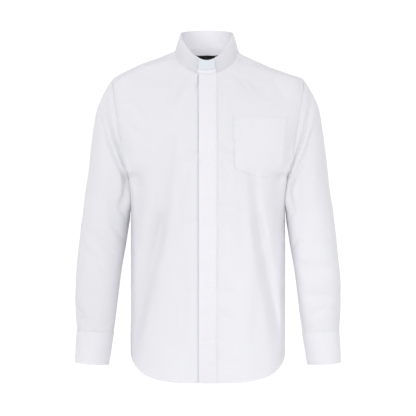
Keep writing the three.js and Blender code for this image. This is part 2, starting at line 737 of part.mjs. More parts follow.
const POCKET = {
  topLeft: [58, -163],
  topRight: [180, -167],
  bottomLeft: [61, -281],
  tip: [118, -303],
  bottomRight: [170, -290],
  hemShare: 0.2,
  hemStep: 0.6,
  clearance: 0.5,
};
const POCKET_WIDTH = POCKET.bottomRight[0] - POCKET.bottomLeft[0];
const POCKET_TIP_SHARE = (POCKET.tip[0] - POCKET.bottomLeft[0]) / POCKET_WIDTH;

// Across the pocket from 0 to 1, and down it from 0 at the top edge to 1 at the bottom
function pocketPoint(across, down) {
  const before = across < POCKET_TIP_SHARE;
  const from = before ? POCKET.bottomLeft : POCKET.tip;
  const to = before ? POCKET.tip : POCKET.bottomRight;
  const past = (across - POCKET_TIP_SHARE) / (1 - POCKET_TIP_SHARE);
  const share = before ? across / POCKET_TIP_SHARE : past;
  const top = POCKET.topLeft.map((value, i) => lerp(value, POCKET.topRight[i], across));
  const bottom = from.map((value, i) => lerp(value, to[i], share));
  return onLeftFront(lerp(top[0], bottom[0], down), lerp(top[1], bottom[1], down));
}

// The turned top edge is a little thicker than the rest
function addPocket() {
  const us = [...even(0, POCKET_TIP_SHARE, 4), ...even(POCKET_TIP_SHARE, 1, 4).slice(1)];
  const below = POCKET.hemShare + 0.02;
  const vs = [...even(0, POCKET.hemShare, 2), ...even(below, 1, 5)];
  const lift = (u, v) => CLOTH + POCKET.clearance + (v <= POCKET.hemShare ? POCKET.hemStep : 0);
  add('pocket', panel({ point: pocketPoint, us, vs, wall: CLOTH, lift, pull: '' }), 'poplin');
}

// The label hangs inside the yoke at the middle of the back. Its sides are found from how far out
// the yoke's own line at a share of the way round lies.
const LABEL_SIZE = { half: 31, top: 0.16, bottom: 0.49, inset: CLOTH + 0.9, nearLine: 0.4 };

function labelPoint(across, down) {
  const out = lerp(LABEL_SIZE.top, LABEL_SIZE.bottom, down);
  const near = yokeAround(LABEL_SIZE.nearLine, out)[0] - NECK_SHIFT_X * (1 - out);
  return yokeAround(across * LABEL_SIZE.nearLine * LABEL_SIZE.half / near, out);
}

function addLabel() {
  const shape = { point: labelPoint, us: even(-1, 1, 6), vs: even(0, 1, 3), pull: '' };
  add('neck_label', panel({ ...shape, wall: LABEL, lift: -LABEL_SIZE.inset }), 'label');
}

// The first ring stands one seam gap off the armhole, along the armhole's own slant
function addSleeve(side, word) {
  const run = [ARMHOLE.topX - ARMHOLE.bottomX, ARMHOLE.topZ - ARMHOLE.bottomZ];
  const away = new THREE.Vector3(side * run[1], 0, -run[0]).normalize();
  const grid = (inset) => SLEEVE_TURNS.map((turn) => SLEEVE_SHARES.map((share, j) => (
    vector(sleevePoint(side, share, turn, inset)).addScaledVector(away, j === 0 ? SEAM : 0)
  )));
  add(`sleeve_${word}`, shell(grid(0), grid(CLOTH), { wrap: true }), 'poplin');
}

// A strip with a pointed top over the sleeve's opening
function addSleevePlacket(side, word) {
  const { halfWidth, radius, top, bottom, point: pointed } = SLEEVE_PLACKET;
  const point = (across, down) => {
    const narrowing = (1 - smoothstep(down, -pointed, pointed)) * 1.9 * Math.abs(across);
    const turn = LAP_TURN + across * halfWidth * Math.max(1 - narrowing, 0.2) / radius;
    return sleevePoint(side, lerp(top, bottom, down), turn);
  };
  const outward = (spot) => {
    const share = (spot.z - CUFF_ENDS.seam.outer[1]) / (UNDERARM_Z - CUFF_ENDS.seam.outer[1]);
    const middle = (CUFF_ENDS.seam.outer[0] + CUFF_ENDS.seam.inner[0]) / 2;
    const y = lerp(CUFF_ENDS.seam.y, 0, share);
    return spot.clone().sub(new THREE.Vector3(side * middle, y, spot.z));
  };
  const vs = [0, pointed / 2, pointed, ...even(0.25, 1, 5)];
  const shape = { point, us: even(-1, 1, 4), vs, outward, pull: '' };
  add(`sleeve_placket_${word}`, panel({ ...shape, wall: CLOTH, lift: STRIP_LIFT }), 'fused');
}

function cuffPoint(side, turn, down, inset) {
  const { seam, hem } = CUFF_ENDS;
  const ring = {
    outer: seam.outer.map((value, i) => lerp(value, hem.outer[i], down)),
    inner: seam.inner.map((value, i) => lerp(value, hem.inner[i], down)),
    depth: lerp(seam.depth, hem.depth, down),
    y: lerp(seam.y, hem.y, down),
  };
  const [x, y, z] = ringPoint(ring, turn, inset);
  return [side * x, y, z - SEAM];
}

// The cuff ends over its own start: it steps out by one wall before it laps
function addCuff(side, word) {
  const wholeTurn = LAP_TURN + 2 * Math.PI;
  const lap = CUFF_LAP / CUFF_RADIUS;
  const wall = BAND + SEAM;
  const outward = wall + 0.4;
  const step = (turn) => outward * (1 - smoothstep(wholeTurn - turn, 0, CUFF_EASING_TURN));
  const grid = (deeper) => even(LAP_TURN, wholeTurn + lap, 34).map((turn) => (
    even(0, 1, 2).map((down) => vector(cuffPoint(side, turn, down, deeper - step(turn))))
  ));
  add(`cuff_${word}`, shell(grid(0), grid(BAND)), 'fused');
  const spot = vector(cuffPoint(side, LAP_TURN + lap / 2, 0.5, -outward));
  const inside = vector(cuffPoint(side, LAP_TURN + lap / 2, 0.5, CUFF_RADIUS / 2));
  const away = spot.clone().sub(inside).normalize();
  const centre = spot.addScaledVector(away, SEAM + CUFF_BUTTON.thick / 2);
  addButton(`cuff_button_${word}`, centre, away, CUFF_BUTTON);
}

// A flat round button with a softened rim, its axis along the given direction
function addButton(name, centre, axis, { radius, thick }) {
  const half = thick / 2;
  const soft = 0.5;
  const profile = [
    [0, -half],
    [radius - soft, -half],
    [radius, soft - half],
    [radius, half - soft],
    [radius - soft, half],
    [0, half],
  ].map(([r, h]) => new THREE.Vector2(r, h));
  const button = add(name, new THREE.LatheGeometry(profile, 12), 'button');
  button.position.copy(centre);
  button.quaternion.setFromUnitVectors(new THREE.Vector3(0, 1, 0), axis);
}

// The buttons sit between the two fronts, along the middle of the fly
function addFlyButtons() {
  const { count, first, pitch, thick } = FLY_BUTTONS;
  const x = (FLY_FREE_X + FLY_STITCH_X) / 2;
  const reach = 5;
  for (let i = 0; i < count; i += 1) {
    const z = first - pitch * i;
    const centre = new THREE.Vector3(x, frontY(x, z) + CLOTH + 2 * SEAM + thick / 2, z);
    const slope = (frontY(x, z + reach) - frontY(x, z - reach)) / (2 * reach);
    const axis = new THREE.Vector3(0, -1, slope).normalize();
    addButton(`fly_button_${i + 1}`, centre, axis, FLY_BUTTONS);
  }
}

addFronts();
addFly();
addFlyButtons();
addBack();
addYoke();
addCollar();
addLabel();
addPocket();
for (const [side, word] of [[-1, 'right'], [1, 'left']]) {
  addSleeve(side, word);
  addSleevePlacket(side, word);
  addCuff(side, word);
}

export default shirt;
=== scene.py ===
# %% [markdown]
# # A clergy shirt, sewn in code
#
# The real shirt is white cotton poplin: a thin, crisp cloth that hangs in long soft folds from the
# shoulders and shows short creases at the elbows and along its seams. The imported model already
# holds every cut piece as a stiff wall of cloth at its real size. This lesson lays a thin sheet on
# each of those walls, adds the folds, seams and stitches, and gives every piece its finish.

# %% Load the frame
import math

import bpy
import numpy as np
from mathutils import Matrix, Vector


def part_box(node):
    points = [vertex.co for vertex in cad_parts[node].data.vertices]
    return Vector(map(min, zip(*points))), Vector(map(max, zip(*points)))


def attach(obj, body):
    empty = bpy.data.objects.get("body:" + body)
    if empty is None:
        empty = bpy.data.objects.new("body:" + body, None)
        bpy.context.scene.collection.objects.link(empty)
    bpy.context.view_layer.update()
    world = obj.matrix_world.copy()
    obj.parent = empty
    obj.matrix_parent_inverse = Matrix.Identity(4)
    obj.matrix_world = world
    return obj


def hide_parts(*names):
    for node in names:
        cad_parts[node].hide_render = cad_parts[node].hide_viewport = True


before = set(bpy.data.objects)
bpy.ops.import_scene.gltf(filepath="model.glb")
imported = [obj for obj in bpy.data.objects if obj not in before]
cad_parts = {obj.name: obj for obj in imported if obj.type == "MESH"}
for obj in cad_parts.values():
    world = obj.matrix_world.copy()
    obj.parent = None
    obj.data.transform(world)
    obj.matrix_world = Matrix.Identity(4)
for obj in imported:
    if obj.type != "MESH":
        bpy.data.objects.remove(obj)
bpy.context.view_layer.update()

# %% [markdown]
# The photograph looks straight at the chest from a few metres away through a long lens, so the
# camera looks along +Y with no tilt. The width of the picture halfway through the body is known
# from the shirt's size, and the lens follows from that width and the distance.

# %% Camera
CAMERA_DISTANCE = 3.5
PICTURE_WIDTH = 0.978
CAMERA_HEIGHT = -0.3713

camera_data = bpy.data.cameras.new("camera")
camera_data.lens = camera_data.sensor_width * CAMERA_DISTANCE / PICTURE_WIDTH
camera = bpy.data.objects.new("camera", camera_data)
camera.location = (0, -CAMERA_DISTANCE, CAMERA_HEIGHT)
camera.rotation_euler = (math.radians(90), 0, 0)
bpy.context.scene.collection.objects.link(camera)
bpy.context.scene.camera = camera
print("lens", round(camera_data.lens, 1), "mm")

# %% [markdown]
# One small function turns the hex colours that a maker would quote into Blender's linear values,
# one adds a node with its settings and links, by name or number, and one starts a finish. Most of
# Blender's operators work on the active object, so the last one makes a piece the active one.

# %% Colour, node and selection helpers
def linear(hex_colour):
    parts = [int(hex_colour[i:i + 2], 16) / 255 for i in (1, 3, 5)]
    return [c / 12.92 if c <= 0.04045 else ((c + 0.055) / 1.055) ** 2.4 for c in parts] + [1]


def add_node(tree, kind, settings=None, links=None):
    node = tree.nodes.new(kind)
    for name, value in (settings or {}).items():
        if isinstance(name, int) or name in node.inputs:
            node.inputs[name].default_value = value
        else:
            setattr(node, name, value)
    for name, socket in (links or {}).items():
        tree.links.new(socket, node.inputs[name])
    return node


def new_finish(name):
    finish = bpy.data.materials.new(name)
    finish.use_nodes = True
    return finish, finish.node_tree, finish.node_tree.nodes["Principled BSDF"]


def activate(piece):
    bpy.ops.object.select_all(action="DESELECT")
    piece.select_set(True)
    bpy.context.view_layer.objects.active = piece


# %% [markdown]
# The studio is white and even. The world shows pure white to the camera and gives the cloth a
# little less, as the white walls of a studio do. Three large soft lamps model the folds: the key
# stands to the left, the fill to the right and one behind, which shines through the thin cloth. A
# snoot shines over the front edge of the collar and lights its inside, and a strip light falls on
# the sleeve that lies away from the key.

# %% Studio
SEEN_STRENGTH = 1.1
GIVEN_STRENGTH = 0.99
FLOOR_HEIGHT = -1.45
FLOOR_SIZE = 5.2
FLOOR_COLOUR = "#DFDFDF"

world = bpy.data.worlds.new("studio")
bpy.context.scene.world = world
world.use_nodes = True
tree = world.node_tree
tree.nodes.clear()
path = add_node(tree, "ShaderNodeLightPath")
seen, given = (add_node(tree, "ShaderNodeBackground", {"Color": (1, 1, 1, 1), "Strength": strength})
               for strength in (SEEN_STRENGTH, GIVEN_STRENGTH))
mixed = add_node(tree, "ShaderNodeMixShader", None,
                 {"Fac": path.outputs["Is Camera Ray"], 1: given.outputs[0], 2: seen.outputs[0]})
add_node(tree, "ShaderNodeOutputWorld", None, {"Surface": mixed.outputs[0]})


def add_lamp(name, kind, place, aim, power, narrowing=1.0, **settings):
    data = bpy.data.lights.new(name, kind)
    data.energy = power
    for key, value in settings.items():
        setattr(data, key, value)
    lamp = bpy.data.objects.new(name, data)
    lamp.location = place
    lamp.rotation_euler = (Vector(aim) - Vector(place)).to_track_quat("-Z", "Y").to_euler()
    lamp.scale = (narrowing, 1, 1)
    bpy.context.scene.collection.objects.link(lamp)


add_lamp("key", "AREA", place=(-1.9, -2.9, 0.0), aim=(0, 0, -0.4), power=24, size=1.2)
add_lamp("fill", "AREA", place=(2.4, -2.4, -0.9), aim=(0, 0, -0.5), power=17, size=1.8)
add_lamp("back", "AREA", place=(0.4, 3.2, 0.4), aim=(0, 0, -0.35), power=34, size=2.0)
add_lamp("snoot", "SPOT", place=(0, -2.29, 0.83), aim=(-0.003, 0.06, 0.015), power=62,
         spot_size=math.radians(3.6), spot_blend=1, shadow_soft_size=0.02)
add_lamp("strip", "SPOT", place=(-1.3, -3.0, -0.5), aim=(0.262, -0.03, -0.52), power=95,
         narrowing=0.42, spot_size=math.radians(13), spot_blend=1, shadow_soft_size=0.2)

bpy.ops.object.select_all(action="DESELECT")
bpy.ops.mesh.primitive_plane_add(size=FLOOR_SIZE, location=(0, 0, FLOOR_HEIGHT))
floor = bpy.context.active_object
floor.name = "floor"
floor_finish, _, floor_shader = new_finish("pale_floor_paint")
floor_shader.inputs["Base Color"].default_value = linear(FLOOR_COLOUR)
floor.data.materials.append(floor_finish)
bpy.context.scene.view_settings.view_transform = "Standard"

# %% [markdown]
# Every piece is cut from a few named sizes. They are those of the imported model, in millimetres,
# with +X to the wearer's left, -Y to the front and the origin at the base of the neck. Angles are
# in degrees, and shares and levels run from 0 to 1. The tables give the sections of the body, the
# line of the shoulders, the edge of the neck and the two edges and the depth of a sleeve.

# %% Sizes
CLOTH = 0.8
BAND = 1.6

SECTION_POWER = 2.3
SHOULDER_POWER = 2.2
SHOULDER_DROP = 160
SHOULDER_SKEW = 4
UNDERARM_Z = -300
SIDE_HEM_Z = -702
FRONT_HEM_Z = -770
BACK_HEM_Z = -780
HEM_HALF_WIDTH = 181
HEM_CURVE_POWER = 4.2
BACK_YOKE_Z = -95

NECK_SHIFT_X = -3
NECK_BASE = (74, 62)
NECK_TOP = (62, 58)
NECK_SEAM_INSET = -0.5
FRONT_YOKE_ANGLE = 70
YOKE_CORNER_ANGLE = 112
WINDOW_HALF_ANGLE = 18.2
TAB_BOTTOM_LEVEL = 0.31

FLY_FREE_X = -20.5
FLY_STITCH_X = 20
LAP_EDGE_X = 21.5
LAP_FREE_X = -19.5
LAP_STEP = 4.4
LAP_STEP_AT_NECK = 2.3
LAP_STEP_AT_EDGE = 1.9
LAP_STEP_END_X = 27
BUTTON_ROOM_X = 8
FLY_LIFT = 1.3

ARMHOLE_TOP = (224, -68)
ARMHOLE_BOTTOM = (188, UNDERARM_Z)
ARMHOLE_DEPTH = 65
FRONT_YOKE_TURN = 26.3
BACK_YOKE_TURN = 39.9
UNDERARM_SHARE = 0.6
NECK_SHARE = 0.9
YOKE_CORNER_SHARE = 0.6


def table(columns, rows):
    return {name: np.array([row[i] for row in rows], float) for i, name in enumerate(columns)}


BODY = table(["z", "half", "front", "back"], [
    (-790, 181, 118, 122),
    (-700, 181, 118, 120),
    (-550, 181, 118, 112),
    (-450, 181, 120, 108),
    (-380, 181, 124, 112),
    (-340, 183.5, 127, 115),
    (-300, 188, 128, 118),
    (-250, 202, 126, 119),
    (-200, 216, 118, 118),
    (-150, 233, 103, 113),
    (-100, 244, 82, 104),
    (-64, 248, 63, 96),
    (0, 252, 56, 80),
    (60, 254, 50, 70),
])
RIDGE = table(["x", "z"], [
    (0, 63),
    (37, 44),
    (64, 13),
    (76, -2),
    (100, -13),
    (122, -22),
    (158, -37),
    (190, -51),
    (205, -57),
    (225, -68),
    (260, -90),
])
NECK = table(["angle", "base", "top"], [
    (0, -64, -28),
    (10, -62.5, -26),
    (30, -53, -15),
    (50, -38, 5),
    (70, -20, 24),
    (90, -3, 38),
    (120, 4, 46),
    (150, 7, 51),
    (180, 8, 53),
])
SLEEVE_OUTER = table(["length", "x", "z"], [
    (0, 224, -68),
    (33, 242, -96),
    (68, 257, -127),
    (96, 264.5, -154),
    (165, 274, -222),
    (281, 288, -337),
    (394, 302, -450),
    (462, 308, -517),
    (518, 310, -573),
    (556, 310, -611),
    (582, 308, -637),
    (601, 305.5, -656),
])
SLEEVE_INNER = table(["length", "x", "z"], [
    (0, 188, -300),
    (40, 185.2, -340),
    (77, 182.9, -377),
    (100, 183.6, -400),
    (116, 186, -416),
    (160, 192.5, -460),
    (218, 202, -517),
    (275, 209, -573),
    (313, 213.5, -611),
    (362, 220, -660),
])
SLEEVE_ROUND = table(["share", "depth", "y"], [
    (0, 65, 0),
    (0.15, 68, 2),
    (0.3, 66, 2),
    (0.5, 58, -2),
    (0.75, 49, -14),
    (0.93, 43, -21),
    (1, 36, -24),
])
SLEEVE_PRESS = table(["share", "reach"], [
    (0, 0),
    (0.03, 3),
    (0.1, 9),
    (0.2, 12),
    (0.27, 10),
    (0.32, 3),
    (0.35, 0),
    (1, 0),
])
SLEEVE_LENGTH = SLEEVE_OUTER["length"][-1]
SLEEVE_INNER_LENGTH = SLEEVE_INNER["length"][-1]
print("sections of the body", len(BODY["z"]))

# %% [markdown]
# A smooth curve through the rows of a table gives any value between them. The other helpers are
# the usual mix of two values, the soft step from 0 to 1, two such steps back to back, and a point
# or a grid of points from its three coordinates.

# %% Reading the tables
def mix(a, b, share):
    return a + (b - a) * share


def soft_step(value, low, high):
    t = np.clip((value - low) / (high - low), 0, 1)
    return t * t * (3 - 2 * t)


def point_at(x, y, z):
    return np.stack(np.broadcast_arrays(x, y, z), axis=-1)


def between(value, start, full, fade, end):
    """1 from full to fade, with a soft step up from 0 before it and down to 0 after it."""
    return soft_step(value, start, full) * (1 - soft_step(value, fade, end))


def read(rows, key, column, at):
    keys = rows[key]
    values = rows[column]
    at = np.clip(at, keys[0], keys[-1])
    i = np.clip(np.searchsorted(keys, at, side="left") - 1, 0, len(keys) - 2)
    before = np.clip(np.arange(len(keys)) - 1, 0, None)
    after = np.clip(np.arange(len(keys)) + 1, None, len(keys) - 1)
    slope = (values[after] - values[before]) / (keys[after] - keys[before])
    step = keys[i + 1] - keys[i]
    t = (at - keys[i]) / step
    rise = values[i + 1] - values[i]
    bend = (1 - t) * (slope[i] * step - rise) - t * (slope[i + 1] * step - rise)
    return mix(values[i], values[i + 1], t) + t * (1 - t) * bend


# %% [markdown]
# A crease in cloth is a soft trough with one side steeper than the other. Each row of these tables
# places one, from one point of the front view to another, with its depth and the width of
# its two sides. A negative depth is a ridge.

# %% Creases
TAPER_MARGIN = 0.08
CREASE_COLUMNS = ["x1", "z1", "x2", "z2", "depth", "left", "right"]
FRONT_CREASES = table(CREASE_COLUMNS, [
    (-82, -215, -116, -480, 11, 22, 12),
    (-108, -400, -180, -720, 22, 27, 14),
    (-66, -300, -88, -560, -2, 16, 18),
    (-171, -395, -172, -700, -5, 16, 11),
    (171, -395, 172, -700, -5, 11, 16),
    (104, -292, 120, -455, 9, 15, 11),
    (115, -400, 164, -670, 14, 17, 12),
    (84, -330, 118, -560, -2, 14, 14),
    (-50, -530, -58, -712, 4, 13, 12),
    (-186, -165, -90, -223, 4, 17, 14),
    (-176, -196, -120, -236, -2.5, 12, 12),
    (-176, -130, -116, -206, -2.5, 10, 10),
    (96, -76, 132, -112, 4, 12, 11),
    (-58, -84, -84, -122, 4, 9, 11),
    (-47, -78, -60, -128, -2.4, 6, 8),
    (-160, -330, -176, -470, 3, 14, 14),
    (166, -330, 172, -430, 3, 14, 14),
    (44, -82, 47, -118, 3, 7, 7),
    (62, -62, 92, -96, 2.4, 7, 7),
    (34, -92, 34, -150, 2, 6, 6),
    (-30, -92, -31, -140, 2.4, 5, 7),
    (-24, -76, -27, -112, 2.4, 3, 5),
    (28, -240, 62, -262, 2.4, 7, 6),
    (30, -262, 52, -300, 2, 6, 6),
    (30, -224, 64, -228, -1.8, 6, 6),
    (-27, -250, -52, -262, 2, 7, 7),
    (-26, -246, -44, -300, 1.8, 6, 6),
    (28, -362, 58, -378, 2.4, 7, 6),
    (27, -412, 46, -440, 2, 7, 7),
    (-26, -400, -60, -425, 2, 8, 8),
    (28, -556, 62, -566, 2.6, 7, 7),
    (27, -590, 54, -606, -1.8, 7, 7),
    (27, -612, 60, -640, 2.2, 8, 8),
    (-26, -560, -50, -570, 1.8, 7, 7),
    (28, -668, 54, -690, 2.4, 8, 8),
    (28, -716, 76, -736, 2.4, 9, 9),
    (74, -330, 88, -480, 2, 14, 14),
    (-112, -470, -108, -640, -1.6, 14, 14),
    (120, -500, 108, -700, 2.5, 14, 16),
    (-20, -520, -34, -740, 1.4, 12, 12),
    (-182, -268, -180, -385, -14, 12, 14),
    (182, -268, 180, -385, -14, 14, 12),
    (-184, -290, -183, -326, -10, 9, 9),
    (184, -293, 183, -326, -8, 9, 9),
    (196, -180, 178, -300, 3, 9, 11),
    (-198, -190, -176, -300, 3, 11, 9),
    (-184, -262, -150, -330, 3, 11, 9),
    (184, -262, 158, -318, 3, 9, 11),
    (-140, -60, -168, -90, 2, 10, 10),
    (150, -72, 176, -112, 2, 10, 10),
])
BACK_CREASES = table(CREASE_COLUMNS, [
    (-62, -150, -88, -470, 5, 18, 16),
    (74, -170, 96, -520, 5, 16, 18),
    (-108, -430, -146, -735, 7, 17, 13),
    (128, -470, 142, -735, 6, 14, 16),
    (8, -420, -14, -745, 4, 18, 14),
    (-170, -200, -112, -262, 4, 15, 13),
    (172, -215, 118, -270, 4, 14, 15),
    (-184, -268, -130, -372, 3, 11, 10),
    (186, -276, 136, -360, 3, 10, 11),
    (-30, -112, -22, -300, 2, 12, 12),
    (34, -118, 30, -330, 2, 12, 13),
    (-92, -120, -110, -200, 1.8, 11, 11),
    (100, -122, 118, -210, 1.8, 11, 11),
    (48, -540, 60, -760, 2, 14, 16),
    (-64, -560, -72, -760, 2, 16, 14),
])
SLEEVE_CREASES = {
    -1: table(CREASE_COLUMNS, [
        (-148, 22, -140, 80, -9, 12, 12),
        (-104, 95, -113, 235, 10, 10, 15),
        (-20, 34, -120, 66, 6, 12, 12),
        (-30, 62, -122, 104, -2.2, 10, 12),
        (-40, 78, -118, 130, 4, 12, 12),
        (-50, 352, -112, 380, 4, 13, 10),
        (-100, 300, -150, 330, 3.5, 13, 12),
        (-12, 545, -50, 560, 4, 11, 9),
        (60, 60, 120, 90, 5, 13, 12),
        (56, 330, 118, 352, 5, 14, 11),
        (40, 396, 100, 426, 3, 13, 12),
        (-62, 372, -130, 396, -1.8, 9, 12),
        (-40, 400, -108, 432, 2.2, 10, 9),
        (-84, 200, -112, 300, 2, 12, 12),
        (-66, 440, -100, 520, 2, 11, 12),
        (-30, 574, -70, 566, 2, 7, 8),
        (-96, 548, -128, 574, 2.4, 8, 8),
        (-60, 150, -78, 260, -1.5, 12, 14),
        (30, 120, 60, 260, 2, 14, 12),
    ]),
    1: table(CREASE_COLUMNS, [
        (-148, 22, -140, 80, -9, 12, 12),
        (-104, 95, -113, 235, 5, 10, 15),
        (-22, 38, -126, 70, 6, 12, 12),
        (-34, 66, -120, 110, -2.2, 10, 12),
        (-58, 90, -104, 150, 4, 12, 12),
        (-60, 446, -116, 404, 4.5, 13, 10),
        (-46, 520, -104, 498, 4, 12, 9),
        (-96, 320, -140, 345, 3, 13, 12),
        (60, 62, 124, 88, 5, 13, 12),
        (58, 345, 120, 366, 5, 14, 11),
        (38, 428, 98, 404, 3, 13, 12),
        (-50, 480, -112, 455, -2, 9, 12),
        (-38, 392, -96, 372, 2.2, 10, 10),
        (-82, 190, -104, 310, 2, 12, 12),
        (-70, 540, -110, 560, 2.6, 8, 9),
        (-20, 556, -52, 548, 2.4, 8, 8),
        (-56, 160, -70, 270, -1.5, 12, 14),
        (28, 130, 62, 262, 2, 14, 12),
    ]),
}


def crease_depth(creases, x, z):
    depth = np.zeros(np.broadcast(x, z).shape)
    for x1, z1, x2, z2, deep, left, right in zip(*(creases[name] for name in CREASE_COLUMNS)):
        run_x = x2 - x1
        run_z = z2 - z1
        length = math.hypot(run_x, run_z)
        t = np.clip(((x - x1) * run_x + (z - z1) * run_z) / length ** 2, 0, 1)
        away = np.hypot(x - x1 - t * run_x, z - z1 - t * run_z)
        beside = ((z - z1) * run_x - (x - x1) * run_z) / length
        width = mix(left, right, soft_step(beside, -left, right))
        taper = np.sqrt(np.sin(np.pi * mix(TAPER_MARGIN, 1 - TAPER_MARGIN, t)))
        depth += deep * taper * np.exp(-(away / width) ** 2)
    return depth


# %% [markdown]
# Pressed cloth is never quite even, and a machine-sewn seam gathers it a little. The first helper
# adds a few long faint waves in fixed directions. The second makes the short waves that run away
# from a seam and die out within about a thumb's width.

# %% Unevenness and puckers
LONG_WAVES = (44, 61, 83, 118, 160)
SHORT_WAVES = (9, 13, 19, 31)


def uneven(x, z, seed, size):
    chance = np.random.default_rng(seed)
    total = np.zeros(np.broadcast(x, z).shape)
    for wavelength in LONG_WAVES:
        angle = chance.normal(0, 0.55)
        phase = chance.uniform(0, 2 * np.pi)
        wave = (x * math.cos(angle) + z * math.sin(angle) * 0.7) / wavelength
        total += np.sin(2 * np.pi * wave + phase) * wavelength / 100
    return size * total


def pucker(away, along, seed, size=0.45, reach=9):
    chance = np.random.default_rng(seed)
    total = np.zeros(np.broadcast(away, along).shape)
    for wavelength in SHORT_WAVES:
        phase = chance.uniform(0, 2 * np.pi)
        drift = chance.uniform(-0.25, 0.25)
        total += np.sin(2 * np.pi * (along + drift * away) / wavelength + phase)
    return size * total * 0.5 * np.exp(-away / reach) * soft_step(away, 0, 1.2)


# %% [markdown]
# The body is a stack of rounded sections that fills out below the shoulder line. A point of a
# front or of the back is found by its distance from the middle and its height, and a point of the
# shoulder by its distance and its turn over the shoulder line.

# %% Body surface
def section_depth(x, z, face):
    share = np.minimum(np.abs(x) / read(BODY, "z", "half", z), 1)
    return read(BODY, "z", face, z) * (1 - share ** SECTION_POWER) ** (1 / SECTION_POWER)


def ridge_height(x):
    share = np.clip((np.abs(x) - NECK_BASE[0]) / (ARMHOLE_TOP[0] - NECK_BASE[0]), 0, 1)
    return read(RIDGE, "x", "z", np.abs(x)) - SHOULDER_SKEW * np.sin(np.pi * share) * np.sign(x)


def fullness(x, z):
    drop = np.clip((ridge_height(x) - z) / SHOULDER_DROP, 0, 1)
    return (1 - (1 - drop) ** SHOULDER_POWER) ** (1 / SHOULDER_POWER)


def front_y(x, z):
    return -section_depth(x, z, "front") * fullness(x, z)


def back_y(x, z):
    return section_depth(x, z, "back") * fullness(x, z)


def shoulder_point(x, turn):
    rise = np.cos(turn) ** (2 / SHOULDER_POWER)
    reach = np.abs(np.sin(turn)) ** (2 / SHOULDER_POWER)
    z = ridge_height(x) - SHOULDER_DROP * (1 - rise)
    depth = np.where(turn < 0, section_depth(x, z, "front"), section_depth(x, z, "back"))
    return point_at(x, np.sign(turn) * depth * reach, z)


def shoulder_turn(x, y, z):
    depth = np.where(y < 0, section_depth(x, z, "front"), section_depth(x, z, "back"))
    reach = np.clip(np.abs(y) / depth, 0, 1) ** (SHOULDER_POWER / 2)
    return np.sign(y) * np.arcsin(reach)


# %% [markdown]
# Neighbouring pieces share their edges: the ring round the neck, the ring of each armhole, the
# curved hem and the seams of the yoke. Each edge is one function, so that the pieces meet. With the
# arm down, the cloth at the armpit bunches forward, which fills the hollow in front of the seam: a
# broad gather, and a narrower swell of the seam itself. Each has its reach forward, and the degrees
# from the armpit between which it dies out.

# %% Shared edges
GATHER = (20, 34, 86)
SEAM_SWELL = (15, 24, 74)
GATHER_RISE = 10


def neck_point(side, angle, level=0, inset=0):
    turn = np.radians(angle)
    across = mix(NECK_BASE[0], NECK_TOP[0], level) - inset
    deep = mix(NECK_BASE[1], NECK_TOP[1], level) - inset
    from_front = 180 - np.abs(180 - np.abs(angle))
    z = mix(read(NECK, "angle", "base", from_front), read(NECK, "angle", "top", from_front), level)
    x = side * NECK_SHIFT_X + across * np.sin(turn)
    return point_at(x, -deep * np.cos(turn), z)


def neck_angle_at(side, x):
    return np.degrees(np.arcsin((x - side * NECK_SHIFT_X) / NECK_BASE[0]))


def underarm_gather(turn, z, reach, low, high):
    """How far the cloth bunches forward at the armpit, by the turn round the arm and the height."""
    below = 180 - np.abs(turn)
    rise = soft_step(z, UNDERARM_Z, UNDERARM_Z + GATHER_RISE)
    return reach * rise * (1 - soft_step(below, low, high)) * (turn < 0)


def armhole_point(turn):
    share = (1 + np.cos(np.radians(turn))) / 2
    x = mix(ARMHOLE_BOTTOM[0], ARMHOLE_TOP[0], share)
    y = ARMHOLE_DEPTH * np.sin(np.radians(turn))
    z = mix(ARMHOLE_BOTTOM[1], ARMHOLE_TOP[1], share)
    return point_at(x, y, z)


def hem_height(x, middle):
    share = np.clip(np.abs(x) / HEM_HALF_WIDTH, 0, 1)
    return mix(middle, SIDE_HEM_Z, 1 - np.sqrt(1 - share ** HEM_CURVE_POWER))


YOKE_CORNER = armhole_point(BACK_YOKE_TURN)


def back_seam_point(side, x):
    share = x / YOKE_CORNER[0]
    miss = YOKE_CORNER[1] - back_y(side * YOKE_CORNER[0], YOKE_CORNER[2])
    y = back_y(side * x, BACK_YOKE_Z) + miss * share ** 3
    return point_at(x, y, mix(BACK_YOKE_Z, YOKE_CORNER[2], share))


# %% [markdown]
# The yoke lies over both shoulders, from the front seams to the seam across the back. Its grid
# runs round the neck one way and out from the neck the other way.

# %% Yoke surface
def yoke_half(side, round_share, out):
    past = np.clip((round_share - YOKE_CORNER_SHARE) / (1 - YOKE_CORNER_SHARE), 0, 1)
    before = np.clip(round_share / YOKE_CORNER_SHARE, 0, 1)
    angle = np.where(past > 0, mix(YOKE_CORNER_ANGLE, FRONT_YOKE_ANGLE, past),
                     mix(180, YOKE_CORNER_ANGLE, before))
    inner = neck_point(side, angle)
    arm = armhole_point(mix(BACK_YOKE_TURN, -FRONT_YOKE_TURN, past))
    seam = back_seam_point(side, YOKE_CORNER[0] * before)
    outer = np.where((past > 0)[..., None], arm, seam)
    turns = []
    misses = []
    for end in (inner, outer):
        x, y, z = np.moveaxis(end, -1, 0)
        turns.append(shoulder_turn(side * x, y, z))
        raw = shoulder_point(side * x, turns[-1])
        misses.append(end - raw * (side, 1, 1))
    x = mix(inner[..., 0], outer[..., 0], out)
    raw = shoulder_point(side * x, mix(turns[0], turns[1], out)) * (side, 1, 1)
    return (raw + mix(misses[0], misses[1], out[..., None])) * (side, 1, 1)


def yoke_point(round_share, out):
    round_share, out = np.broadcast_arrays(round_share, out)
    left = yoke_half(1, np.abs(round_share), out)
    right = yoke_half(-1, np.abs(round_share), out)
    return np.where((round_share < 0)[..., None], right, left)


